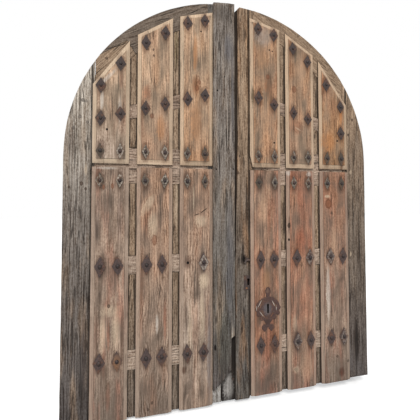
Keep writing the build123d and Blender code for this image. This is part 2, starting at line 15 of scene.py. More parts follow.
import bpy
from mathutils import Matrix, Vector

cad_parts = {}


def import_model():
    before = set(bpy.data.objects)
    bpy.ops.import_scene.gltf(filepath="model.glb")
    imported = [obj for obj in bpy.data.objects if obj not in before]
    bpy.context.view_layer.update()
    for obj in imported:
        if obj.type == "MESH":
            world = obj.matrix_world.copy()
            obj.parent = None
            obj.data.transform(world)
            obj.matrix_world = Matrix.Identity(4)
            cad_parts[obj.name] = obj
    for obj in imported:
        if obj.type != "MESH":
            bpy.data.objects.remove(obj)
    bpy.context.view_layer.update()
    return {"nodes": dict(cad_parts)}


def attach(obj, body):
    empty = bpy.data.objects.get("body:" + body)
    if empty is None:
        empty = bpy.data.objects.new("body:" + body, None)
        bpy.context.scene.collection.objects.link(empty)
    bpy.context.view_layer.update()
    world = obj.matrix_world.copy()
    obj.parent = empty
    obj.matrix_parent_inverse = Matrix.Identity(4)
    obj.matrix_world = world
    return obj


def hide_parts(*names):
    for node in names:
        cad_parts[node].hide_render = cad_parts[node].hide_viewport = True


log = logging.getLogger("arched_door")

Colour = tuple[float, float, float]
MILLIMETRE = 0.001
FRAMING_Y = -52.5
FOOT_Z = 8.0
BOARD_FRONT = -24.0
STRIP_FRONT = -28.0
PLATE_FRONT = -28.0
NAIL_SEAT = -29.2
SHEET = 5.4
FRAMING_BACK = 56.5
STRAP_BACK = 61.8
STRAP_HEIGHTS = (381.0, 1008.0, 1640.0)
HINGE_AXIS = 1128.0
STRAP_END = 70.0
STRAP_STEP = 88.0
STRAP_NAILS = 6
STRAP_STAGGER = 6.0
EVENLY = (1.0, 1.0, 1.0)
MIDDLE_ROWS = (1772.0, 1576.0)
LOWER_ROWS = (1009.0, 390.0)
MARK_DEPTH = 22.0
UPPER_TONES_AT = (1750.0, 2400.0)
LOWER_TONES_AT = (90.0, 460.0, 1500.0)
PHOTO_SIDE = 420
SENSOR = 36.0


def tone(red: int, green: int, blue: int) -> Colour:
    """Turn a colour as it is seen on a screen into linear light.

    Args:
        red: Red from 0 to 255.
        green: Green from 0 to 255.
        blue: Blue from 0 to 255.

    Returns:
        The three linear values.
    """
    def linear(value: int) -> float:
        """Undo the screen's curve for one channel."""
        part = value / 255
        return part / 12.92 if part <= 0.04045 else ((part + 0.055) / 1.055) ** 2.4

    return (linear(red), linear(green), linear(blue))


PEAT = tone(84, 77, 74)
SMOKE = tone(100, 94, 88)
BARK = tone(112, 98, 86)
DRIFTWOOD = tone(122, 112, 104)
EARTH = tone(144, 121, 100)
STONE = tone(175, 163, 150)
BONE = tone(170, 165, 160)
SLATE = tone(96, 95, 99)
DAMP = tone(120, 104, 92)
FADED = tone(154, 131, 114)
BLEACHED = tone(168, 148, 132)
TAN = tone(160, 127, 104)
RUSSET = tone(148, 108, 85)
AMBER = tone(154, 114, 80)
OCHRE = tone(170, 130, 100)
HONEY = tone(188, 154, 126)
CREAM = tone(206, 184, 158)
CHALK = tone(206, 196, 184)
RESIN = tone(182, 120, 70)
RED = tone(148, 92, 72)
BROWN_KNOT = tone(132, 84, 60)
DARK_KNOT = tone(84, 67, 56)
IRON = tone(66, 55, 52)
RUSTED = tone(90, 65, 53)


def spot(x: float, y: float, z: float) -> Vector:
    """Turn a place on the door in millimetres into the part's metres."""
    return Vector((x, y + FRAMING_Y, z + FOOT_Z)) * MILLIMETRE


class Signal:
    """A node's output that can be used in arithmetic."""

    def __init__(self, graph: Graph, socket: bpy.types.NodeSocket) -> None:
        """Keep the output and the graph that it belongs to."""
        self.graph = graph
        self.socket = socket

    def math(self, operation: str, *others: Signal | float, first: Signal | float | None = None) -> Signal:
        """Add a Math node.

        Args:
            operation: The Math node's operation.
            others: The values after this one.
            first: A value that goes before this one.

        Returns:
            The node's result.
        """
        values = [self, *others] if first is None else [first, self]
        return self.graph.node("ShaderNodeMath", {"operation": operation}, dict(enumerate(values)))

    def __add__(self, other: Signal | float) -> Signal:
        """Add."""
        return self.math("ADD", other)

    def __radd__(self, other: float) -> Signal:
        """Add to a number."""
        return self.math("ADD", other)

    def __sub__(self, other: Signal | float) -> Signal:
        """Subtract."""
        return self.math("SUBTRACT", other)

    def __rsub__(self, other: float) -> Signal:
        """Subtract from a number."""
        return self.math("SUBTRACT", first=other)

    def __mul__(self, other: Signal | float) -> Signal:
        """Multiply."""
        return self.math("MULTIPLY", other)

    def __truediv__(self, other: Signal | float) -> Signal:
        """Divide."""
        return self.math("DIVIDE", other)

    def __abs__(self) -> Signal:
        """Drop the sign."""
        return self.math("ABSOLUTE")

    def ease(self, low: float, high: float) -> Signal:
        """Go smoothly from 0 at the first value to 1 at the second, which may be the lower one.

        Args:
            low: The first value.
            high: The second value.

        Returns:
            The eased value.
        """
        flipped = high < low
        start, end = (high, low) if flipped else (low, high)
        eased = self.graph.node(
            "ShaderNodeMapRange", {"interpolation_type": "SMOOTHSTEP"},
            {"Value": self, "From Min": start, "From Max": end})
        return 1 - eased if flipped else eased

    def most(self, other: Signal | float) -> Signal:
        """The higher of two values."""
        return self.math("MAXIMUM", other)


class Graph:
    """The node tree of one material, written as expressions."""

    def __init__(self, name: str) -> None:
        """Start an empty material.

        Args:
            name: The material's name.
        """
        self.material = bpy.data.materials.new(name)
        self.material.use_nodes = True
        self.tree = self.material.node_tree
        self.tree.nodes.clear()

    def node(self, kind: str, settings: dict[str, object] | None = None,
             sockets: dict[str | int, object] | None = None, output: str | int = 0) -> Signal:
        """Add one node.

        Args:
            kind: The node's type.
            settings: Properties to set first; "stops" holds a colour ramp's positions and colours.
            sockets: Values or signals for inputs, by name, identifier or number.
            output: The output to hand back, by identifier or number.

        Returns:
            The chosen output.
        """
        made = self.tree.nodes.new(kind)
        for key, value in (settings or {}).items():
            if key == "stops":
                self._fill_ramp(made, value)
            else:
                setattr(made, key, value)
        for key, value in (sockets or {}).items():
            target = self._input(made, key)
            if isinstance(value, Signal):
                self.tree.links.new(value.socket, target)
            elif isinstance(value, tuple) and target.type == "RGBA" and len(value) == 3:
                target.default_value = (*value, 1.0)
            else:
                target.default_value = value
        if not made.outputs:
            return Signal(self, None)
        if isinstance(output, int):
            return Signal(self, made.outputs[output])
        return Signal(self, next(item for item in made.outputs if item.identifier == output))

    @staticmethod
    def _input(made: bpy.types.Node, key: str | int) -> bpy.types.NodeSocket:
        """Find an input by number, identifier or name.

        Args:
            made: The node.
            key: The input's number, identifier or name.

        Returns:
            The input.
        """
        if isinstance(key, int):
            return made.inputs[key]
        found = [item for item in made.inputs if item.identifier == key]
        return found[0] if found else made.inputs[key]

    @staticmethod
    def _fill_ramp(made: bpy.types.Node, stops: Sequence[tuple[float, Colour]]) -> None:
        """Give a colour ramp its stops.

        Args:
            made: The node.
            stops: Positions and colours.
        """
        elements = made.color_ramp.elements
        while len(elements) < len(stops):
            elements.new(1.0)
        for element, (position, colour) in zip(elements, stops):
            element.position = position
            element.color = (*colour, 1.0)

    def mix(self, mask: Signal | float, first: object, second: object, blend: str = "MIX") -> Signal:
        """Blend two colours by a mask.

        Args:
            mask: How much of the second colour shows.
            first: The first colour.
            second: The second colour.
            blend: How the two are blended.

        Returns:
            The blended colour.
        """
        return self.node(
            "ShaderNodeMix", {"data_type": "RGBA", "blend_type": blend, "clamp_factor": True},
            {"Factor_Float": mask, "A_Color": first, "B_Color": second}, "Result_Color")

    def place(self) -> Signal:
        """The place on the door in millimetres.

        Returns:
            The place as a vector.
        """
        where = self.node("ShaderNodeTexCoord", output="Object")
        scaled = self.vector("SCALE", where, Scale=1 / MILLIMETRE)
        return self.vector("SUBTRACT", scaled, (0.0, FRAMING_Y, FOOT_Z))

    def vector(self, operation: str, first: Signal, second: object = None, **named: float) -> Signal:
        """Add a Vector Math node.

        Args:
            operation: The node's operation.
            first: The first input.
            second: The second input.
            named: Inputs by name.

        Returns:
            The node's result.
        """
        sockets: dict[str | int, object] = {0: first}
        if second is not None:
            sockets[1] = second
        sockets.update(named)
        return self.node("ShaderNodeVectorMath", {"operation": operation}, sockets)

    def parts(self, vector: Signal) -> tuple[Signal, Signal, Signal]:
        """Split a vector into its three numbers.

        Args:
            vector: The vector.

        Returns:
            The three numbers.
        """
        split = self.node("ShaderNodeSeparateXYZ", {}, {0: vector})
        outputs = split.socket.node.outputs
        return Signal(self, outputs[0]), Signal(self, outputs[1]), Signal(self, outputs[2])

    def joined(self, x: Signal | float, y: Signal | float, z: Signal | float) -> Signal:
        """Make a vector of three numbers."""
        return self.node("ShaderNodeCombineXYZ", {}, {0: x, 1: y, 2: z})

    def noise(self, vector: Signal, scale: float = 1.0, detail: float = 2.0,
              roughness: float = 0.5) -> Signal:
        """Smooth random values about one half."""
        return self.node("ShaderNodeTexNoise", {}, {
            "Vector": vector, "Scale": scale, "Detail": detail, "Roughness": roughness})

    def finish(self, colour: object, roughness: object, height: Signal | None, depth: float,
               specular: float = 0.3, glow: object = None) -> bpy.types.Material:
        """Close the material with a shader.

        Args:
            colour: Base colour.
            roughness: Roughness.
            height: The relief, from 0 to 1, or None.
            depth: What a height of 1 stands for, in millimetres.
            specular: The shader's own specular level.
            glow: Colour that it sends out by itself, or None.

        Returns:
            The material.
        """
        sockets: dict[str | int, object] = {
            "Base Color": colour, "Roughness": roughness, "Metallic": 0.0,
            "Specular IOR Level": specular}
        if glow is not None:
            sockets["Emission Color"] = glow
            sockets["Emission Strength"] = 1.0
        if height is not None:
            sockets["Normal"] = self.node(
                "ShaderNodeBump", {}, {"Strength": 1.0, "Distance": depth * MILLIMETRE, "Height": height})
        shader = self.node("ShaderNodeBsdfPrincipled", {}, sockets)
        self.node("ShaderNodeOutputMaterial", {}, {"Surface": shader})
        return self.material


class MarkKind(Enum):
    """What one mark on the timber is."""

    STAIN = "stain"
    WASH = "wash"
    KNOT = "knot"
    HOLE = "hole"
    CRACK = "crack"


@dataclass(frozen=True)
class Sight:
    """The photograph's viewpoint, which turns a place in its frame of 420 by 420 into one on the door.

    Attributes:
        eye: Where the camera stands.
        turn: How far it is turned to the right, in degrees.
        rise: How far it looks up, in degrees.
        lens: Focal length in millimetres, for a sensor 36 mm wide.
        shift: Vertical shift of the frame, as a part of its width.
    """

    eye: tuple[float, float, float] = (-914.6, -2648.6, 1440.0)
    turn: float = 15.97
    rise: float = 2.40
    lens: float = 32.906
    shift: float = -0.0601

    def on_plane(self, u: float, v: float, depth: float) -> tuple[float, float]:
        """Find where the line of sight through a place in the frame meets an upright plane.

        Args:
            u: Place from the left of the frame.
            v: Place from the top of the frame.
            depth: The plane's depth.

        Returns:
            The place across the door and its height.
        """
        turn, rise = math.radians(self.turn), math.radians(self.rise)
        ahead = Vector((math.sin(turn) * math.cos(rise), math.cos(turn) * math.cos(rise), math.sin(rise)))
        right = Vector((math.cos(turn), -math.sin(turn), 0.0))
        up = right.cross(ahead)
        focal = self.lens / SENSOR * PHOTO_SIDE
        middle = PHOTO_SIDE / 2
        ray = ahead * focal + right * (u - middle) + up * (middle + self.shift * PHOTO_SIDE - v)
        reach = (depth - self.eye[1]) / ray.y
        return self.eye[0] + reach * ray.x, self.eye[2] + reach * ray.z


SIGHT = Sight()


@dataclass(frozen=True)
class Mark:
    """One mark, placed as it is seen in the photograph.

    Attributes:
        kind: What it is.
        u: Its middle from the left of the frame.
        v: Its middle from the top of the frame.
        wide: Half its width in the frame.
        tall: Half its height in the frame.
        colour: The colour that it turns the surface to, or multiplies it by.
        strength: How strongly, from 0 to 1.
        lean: How far it leans, in degrees from upright, clockwise.
        ragged: How frayed its outline is.
    """

    kind: MarkKind
    u: float
    v: float
    wide: float
    tall: float
    colour: Colour = (0.02, 0.015, 0.012)
    strength: float = 1.0
    lean: float = 0.0
    ragged: float = 0.5

    def on_door(self, depth: float) -> tuple[float, float, float, float]:
        """Find its middle and its half sizes in millimetres on a plane of the door.

        Args:
            depth: The plane's depth.

        Returns:
            Its middle across and up, and its half sizes.
        """
        x, z = SIGHT.on_plane(self.u, self.v, depth)
        side = SIGHT.on_plane(self.u + self.wide, self.v, depth)[0] - x
        rise = z - SIGHT.on_plane(self.u, self.v + self.tall, depth)[1]
        return x, z, side, rise

    def lay(self, g: Graph, colour: object, place: tuple[Signal, Signal], fray: Signal,
            depth: float) -> tuple[Signal, Signal | None]:
        """Lay the mark over a colour.

        Args:
            g: The material's graph.
            colour: The colour so far.
            place: Distances across the door and up it.
            fray: Uneven values that fray the outline.
            depth: The depth of the surface.

        Returns:
            The new colour, and how deep the surface is at the mark if it is a hollow.
        """
        x, z, wide, tall = self.on_door(depth)
        side, rise = place[0] - x, place[1] - z
        if self.lean:
            turn = math.radians(self.lean)
            side, rise = (side * math.cos(turn) - rise * math.sin(turn),
                          side * math.sin(turn) + rise * math.cos(turn))
        side, rise = side / wide, rise / tall
        if self.kind in (MarkKind.STAIN, MarkKind.WASH):
            frayed = side + (fray - 0.5) * self.ragged * 2.6
            lifted = rise + (fray - 0.5) * self.ragged * 1.2
            mask = (frayed * frayed + lifted * lifted).ease(1.5, 0.05) * self.strength
            if self.kind is MarkKind.STAIN:
                return g.mix(mask * (0.5 + fray), colour, g.mix(1.0, colour, self.colour, "MULTIPLY")), None
            return g.mix(mask * (fray * 1.5 + 0.2), colour, self.colour), None
        if self.kind is MarkKind.KNOT:
            reach = (side * side + rise * rise).math("SQRT") + (fray - 0.5) * 0.4
            rings = (reach * 8 + fray * 3).math("SINE") * 0.5 + 0.5
            inside = reach.ease(1.15, 0.85)
            rim = reach.ease(0.6, 0.9) * inside
            core = g.mix(rings * 0.4, self.colour, tuple(part * 0.45 for part in self.colour))
            colour = g.mix(inside * self.strength, colour, core)
            outline = tuple(part * 0.35 for part in self.colour)
            return g.mix(rim * self.strength * 0.55, colour, outline), rim * 0.4
        frayed = side + (fray - 0.5) * self.ragged
        soft = 0.7 if self.kind is MarkKind.HOLE else 0.3
        mask = (frayed * frayed + rise * rise).ease(1.2, soft) * self.strength
        return g.mix(mask, colour, self.colour), mask * 0.8


def crack(u0: float, v0: float, u1: float, v1: float, wide: float = 0.5, strength: float = 0.85) -> Mark:
    """A crack between two places in the frame.

    Args:
        u0: One end from the left of the frame.
        v0: That end from the top of the frame.
        u1: The other end from the left.
        v1: The other end from the top.
        wide: Half its width in the frame.
        strength: How strongly it shows, from 0 to 1.

    Returns:
        The mark.
    """
    lean = math.degrees(math.atan2(u1 - u0, v0 - v1))
    lean = lean - 180 if lean > 90 else lean + 180 if lean < -90 else lean
    return Mark(MarkKind.CRACK, (u0 + u1) / 2, (v0 + v1) / 2, wide, math.hypot(u1 - u0, v1 - v0) / 2,
                strength=strength, lean=lean, ragged=0.8)


def hole(u: float, v: float, wide: float = 0.9, tall: float = 0.9) -> Mark:
    """A small black hole."""
    return Mark(MarkKind.HOLE, u, v, wide, tall, (0.008, 0.006, 0.005), ragged=0.3)


def knot(u: float, v: float, wide: float = 1.3, tall: float = 1.6, colour: Colour = DARK_KNOT,
         strength: float = 0.75) -> Mark:
    """A knot with rings."""
    return Mark(MarkKind.KNOT, u, v, wide, tall, colour, strength, ragged=0.4)


def stain(u: float, v: float, wide: float, tall: float, colour: Colour = (0.42, 0.34, 0.32),
          strength: float = 0.7, lean: float = 0.0) -> Mark:
    """A dark stain that lets the grain show."""
    return Mark(MarkKind.STAIN, u, v, wide, tall, colour, strength, lean)


def wash(u: float, v: float, wide: float, tall: float, colour: Colour, strength: float = 0.55,
         lean: float = 0.0) -> Mark:
    """A patch of another tone."""
    return Mark(MarkKind.WASH, u, v, wide, tall, colour, strength, lean)


@dataclass(frozen=True)
class WeatheredWood:
    """A weathered timber finish.

    Attributes:
        name: The material's name.
        heights: Middle tones of the wood by height in millimetres.
        light: How the light fibres differ from the middle tone.
        dark: How the dark fibres differ from it.
        warm: A second tone that shows in patches.
        warm_share: How much of the surface the patches take.
        lean: Direction of the grain, in degrees from upright, clockwise.
        width: Width of a streak.
        length: Length of a streak.
        curl: How far the grain wanders.
        figure: How strongly the growth rings show.
        contrast: Contrast between light and dark fibres.
        relief: Depth of the grain.
        cracks: Share of dark checks along the grain.
        seed: Which stretch of the pattern it shows.
        rim: Tone of the bevelled border, or None.
        rim_strength: How strongly the border has that tone.
        depth: Depth of the front face.
        fielded: Whether it is a board with a raised field.
        shade_lines: Distances across the door at which a line of painted shade runs up, beside the edge of a
            board or of the cover strip.
        recess: Whether what lies behind the front face is darkened with painted shade.
        marks: Marks at their places.
        nails: Places of nails that have stained the wood.
    """

    name: str
    heights: tuple[tuple[float, Colour], ...]
    light: Colour = (1.56, 1.62, 1.66)
    dark: Colour = (0.5, 0.43, 0.38)
    warm: Colour | None = None
    warm_share: float = 0.5
    lean: float = 0.0
    width: float = 7.0
    length: float = 420.0
    curl: float = 9.0
    figure: float = 0.35
    contrast: float = 1.0
    relief: float = 1.6
    cracks: float = 0.3
    seed: float = 0.0
    rim: Colour | None = None
    rim_strength: float = 0.5
    depth: float = 0.0
    fielded: bool = False
    shade_lines: tuple[float, ...] = ()
    recess: bool = False
    marks: tuple[Mark, ...] = ()
    nails: tuple[tuple[float, float], ...] = ()

    def material(self) -> bpy.types.Material:
        """Build the material.

        Returns:
            The material.
        """
        g = Graph(self.name)
        place = g.place()
        x, y, z = g.parts(place)
        across, along = self._grain_axes(x, z)
        wander = g.noise(g.joined(across / 170, self.seed, along / 760), 1, 1.5) - 0.5
        bent = across + wander * self.curl * 2
        streak = g.noise(g.joined(bent / self.width, y / 30 + self.seed, along / self.length), 1, 3, 0.62)
        fine = g.joined(bent / (self.width * 0.42), y / 9 + self.seed, along / (self.length * 0.4))
        thin = g.noise(fine, 1, 2, 0.6)
        speck = g.noise(g.joined(x / 9, y / 9 + self.seed, z / 16), 1, 3, 0.7)
        value = ((streak - 0.5) * 0.85 + (thin - 0.5) * 1.05 + (speck - 0.5) * 0.8) * self.contrast + 0.5
        value = value + self._rings(g, across, along) * (0.12 * self.figure)
        colour = self._base(g, z)
        if self.warm is not None:
            patch = g.noise(g.joined(bent / 60, self.seed + 7.3, along / 420), 1, 3, 0.6)
            middle = 0.62 - 0.24 * self.warm_share
            colour = g.mix(patch.ease(middle - 0.1, middle + 0.14) * 0.5, colour, self.warm)
        colour = self._drift(g, colour, across, along)
        shaded = g.node("ShaderNodeValToRGB", {"stops": (
            (0.0, tuple(part * 0.45 for part in self.dark)), (0.27, self.dark), (0.5, (1.03, 1.05, 1.05)),
            (0.74, self.light), (1.0, tuple(part * 1.15 for part in self.light)))}, {"Fac": value})
        colour = g.mix(1.0, colour, shaded, "MULTIPLY")
        pore = g.noise(g.joined(bent / 2.1, y / 5 + self.seed, along / 26), 1, 2, 0.7).ease(0.4, 0.26)
        colour = g.mix(pore * 0.55, colour, g.mix(1.0, colour, (0.35, 0.3, 0.27), "MULTIPLY"))
        check, colour = self._checks(g, colour, bent, along, y)
        colour = self._borders(g, colour, y, thin)
        colour = self._shade_lines(g, colour, x, y, thin)
        fray = (thin * 0.5 + speck * 0.5 - 0.5) * 2.2 + 0.5
        colour = self._nail_stains(g, colour, x, z, fray)
        pits, unmarked = check, colour
        front = y.ease(self.depth + MARK_DEPTH, self.depth + MARK_DEPTH - 6)
        for mark in self.marks:
            colour, pit = mark.lay(g, colour, (x, z), fray, self.depth)
            pits = pits.most(pit * front) if pit is not None else pits
        colour = g.mix(front, unmarked, colour)
        height = streak * 0.35 + thin * 0.45 + speck * 0.2 - pits * 1.3
        return g.finish(colour, 0.9 - streak * 0.1, height, self.relief, specular=0.22)

    def _grain_axes(self, x: Signal, z: Signal) -> tuple[Signal, Signal]:
        """Distances across and along the grain.

        Args:
            x: Distance across the door.
            z: Height on the door.

        Returns:
            Distances across and along the grain.
        """
        if not self.lean:
            return x, z
        turn = math.radians(self.lean)
        return x * math.cos(turn) - z * math.sin(turn), x * math.sin(turn) + z * math.cos(turn)

    def _rings(self, g: Graph, across: Signal, along: Signal) -> Signal:
        """Growth rings cut lengthwise, from -1 to 1.

        Args:
            g: The material's graph.
            across: Distance across the grain.
            along: Distance along the grain.

        Returns:
            The rings' values.
        """
        swell = g.noise(g.joined(across / 120, self.seed + 11.7, along / 330), 1, 2, 0.55)
        fret = g.noise(g.joined(across / 26, self.seed + 2.9, along / 60), 1, 3, 0.6)
        share = g.noise(g.joined(across / 90, self.seed + 5.3, along / 260), 1, 1).ease(0.38, 0.6)
        return (across / 2.6 + swell * 52 + fret * 7).math("SINE") * share

    def _base(self, g: Graph, z: Signal) -> object:
        """The middle tone by height.

        Args:
            g: The material's graph.
            z: Height on the door.

        Returns:
            The tone.
        """
        if len(self.heights) == 1:
            return self.heights[0][1]
        low, high = self.heights[0][0], self.heights[-1][0]
        stops = tuple(((height - low) / (high - low), colour) for height, colour in self.heights)
        return g.node("ShaderNodeValToRGB", {"stops": stops}, {"Fac": (z - low) / (high - low)})

    def _drift(self, g: Graph, colour: object, across: Signal, along: Signal) -> Signal:
        """Slow changes of lightness over the piece.

        Args:
            g: The material's graph.
            colour: The colour so far.
            across: Distance across the grain.
            along: Distance along the grain.

        Returns:
            The new colour.
        """
        slow = g.noise(g.joined(across / 75, self.seed + 3.1, along / 250), 1, 4, 0.65)
        shade = g.node("ShaderNodeValToRGB", {"stops": (
            (0.28, (0.66, 0.64, 0.62)), (0.5, (1.0, 1.0, 1.0)), (0.72, (1.24, 1.24, 1.23)))}, {"Fac": slow})
        return g.mix(1.0, colour, shade, "MULTIPLY")

    def _checks(self, g: Graph, colour: Signal, bent: Signal, along: Signal,
                y: Signal) -> tuple[Signal, Signal]:
        """Thin dark checks along the grain.

        Args:
            g: The material's graph.
            colour: The colour so far.
            bent: Distance across the wandering grain.
            along: Distance along the grain.
            y: Depth on the door.
        """
        cell = g.node("ShaderNodeTexVoronoi", {"feature": "DISTANCE_TO_EDGE"}, {
            "Vector": g.joined(bent / 19, y / 60 + self.seed, along / 620), "Scale": 1.0}, "Distance")
        gate = g.noise(g.joined(bent / 24, self.seed + 1.7, along / 150), 1, 2)
        low = 0.66 - 0.3 * self.cracks
        check = cell.ease(0.07, 0.015) * gate.ease(low, low + 0.1)
        return check, g.mix(check * 0.7, colour, (0.022, 0.016, 0.013))

    def _borders(self, g: Graph, colour: Signal, y: Signal, thin: Signal) -> Signal:
        """The bevelled border, a painted shadow line under the field's step, and the sides of a fielded board
        darkened by painted shade and dirt.

        Args:
            g: The material's graph.
            colour: The colour so far.
            y: Depth on the door.
            thin: Fine uneven values.

        Returns:
            The new colour.
        """
        if not self.fielded:
            return colour
        out = y * -1 + (thin - 0.5) * 1.5
        border = out.ease(23.2, 21.6)
        if self.rim is not None:
            colour = g.mix(border * (0.4 + thin) * self.rim_strength, colour, self.rim)
        # Painted shadow: a thin dark line on the bevel where the raised field steps down to it.
        colour = g.mix(out.ease(19.6, 21.0) * border * 0.8, colour, (0.045, 0.03, 0.022))
        # Painted shade and dirt: the board's side faces behind its front are turned almost black.
        side = out.ease(13.2, 10.5)
        return g.mix(side * 0.9, colour, (0.02, 0.015, 0.012))

    def _shade_lines(self, g: Graph, colour: Signal, x: Signal, y: Signal, thin: Signal) -> Signal:
        """Painted shade along the boards' edges, and painted shade in a recess.

        Args:
            g: The material's graph.
            colour: The colour so far.
            x: Distance across the door.
            y: Depth on the door.
            thin: Fine uneven values.

        Returns:
            The new colour.
        """
        for shade_at in self.shade_lines:
            # Painted shade: a dark line on the framing beside the edge of a board or of the cover strip,
            # where that edge shades it.
            line = abs(x - shade_at + (thin - 0.5) * 16).ease(11.0, 3.0)
            colour = g.mix(line * 0.8, colour, (0.022, 0.016, 0.012))
        if self.recess:
            # Painted shade: what lies 5 to 48 mm behind the framing's front is turned almost black.
            recess_shade = y.ease(5.0, 9.0) * y.ease(48.0, 44.0)
            colour = g.mix(recess_shade * 0.93, colour, (0.016, 0.012, 0.01))
        return colour

    def _nail_stains(self, g: Graph, colour: Signal, x: Signal, z: Signal, fray: Signal) -> Signal:
        """Dark halos above and below the iron.

        Args:
            g: The material's graph.
            colour: The colour so far.
            x: Distance across the door.
            z: Height on the door.
            fray: Uneven values that fray an outline.

        Returns:
            The new colour.
        """
        for nail_x, nail_z in self.nails:
            side = (x - nail_x) / 37 + (fray - 0.5) * 0.8
            rise = (z - nail_z) / 84 + (fray - 0.5) * 0.5
            halo = (side * side + rise * rise).ease(1.2, 0.3)
            colour = g.mix(halo * 0.62, colour, g.mix(1.0, colour, (0.36, 0.3, 0.29), "MULTIPLY"))
        return colour


@dataclass(frozen=True)
class ForgedIron:
    """Forged iron under old rust.

    Attributes:
        name: The material's name.
        plain: The iron's own tone.
        rust: The tone of its rust.
        rust_share: How much of it has rusted.
        rims: Plates whose rims are painted pale, partly as worn iron and partly as a painted highlight, each
            as u, v and strength in the frame.
        plate: Half width and half height of those plates.
        marks: Marks at their places.
        depth: Depth of the front face.
        shine: Its lowest roughness.
    """

    name: str
    plain: Colour
    rust: Colour
    rust_share: float = 0.4
    rims: tuple[tuple[float, float, float], ...] = ()
    plate: tuple[float, float] = (29.0, 57.0)
    marks: tuple[Mark, ...] = ()
    depth: float = PLATE_FRONT
    shine: float = 0.6

    def material(self) -> bpy.types.Material:
        """Build the material.

        Returns:
            The material.
        """
        g = Graph(self.name)
        place = g.place()
        x, _, z = g.parts(place)
        cloud = g.noise(place, 0.021, 4, 0.65)
        grit = g.noise(place, 0.16, 4, 0.7)
        dents = g.noise(place, 0.055, 2, 0.5)
        low = 0.64 - 0.28 * self.rust_share
        colour = g.mix(cloud.ease(low - 0.05, low + 0.1), self.plain, self.rust)
        shade = g.node("ShaderNodeValToRGB", {"stops": (
            (0.28, (0.45, 0.43, 0.43)), (0.5, (1.0, 1.0, 1.0)), (0.74, (1.6, 1.5, 1.45)))}, {"Fac": grit})
        colour = g.mix(1.0, colour, shade, "MULTIPLY")
        worn = g.noise(place, 0.07, 3, 0.7).ease(0.4, 0.6)
        # Pale rims: partly worn iron, partly a painted highlight where the plates' edges catch the light.
        for u, v, strength in self.rims:
            centre_x, centre_z = SIGHT.on_plane(u, v, self.depth)
            reach = abs(x - centre_x) / self.plate[0] + abs(z - centre_z) / self.plate[1]
            reach = reach + (grit - 0.5) * 0.5
            band = reach.ease(0.36, 0.62) * reach.ease(1.04, 0.84) * worn
            colour = g.mix(band * strength, colour, STONE)
        for mark in self.marks:
            colour, _ = mark.lay(g, colour, (x, z), grit, self.depth)
        roughness = self.shine + grit * 0.3
        return g.finish(colour, roughness, dents * 0.6 + grit * 0.4, depth=1.4, specular=0.4)


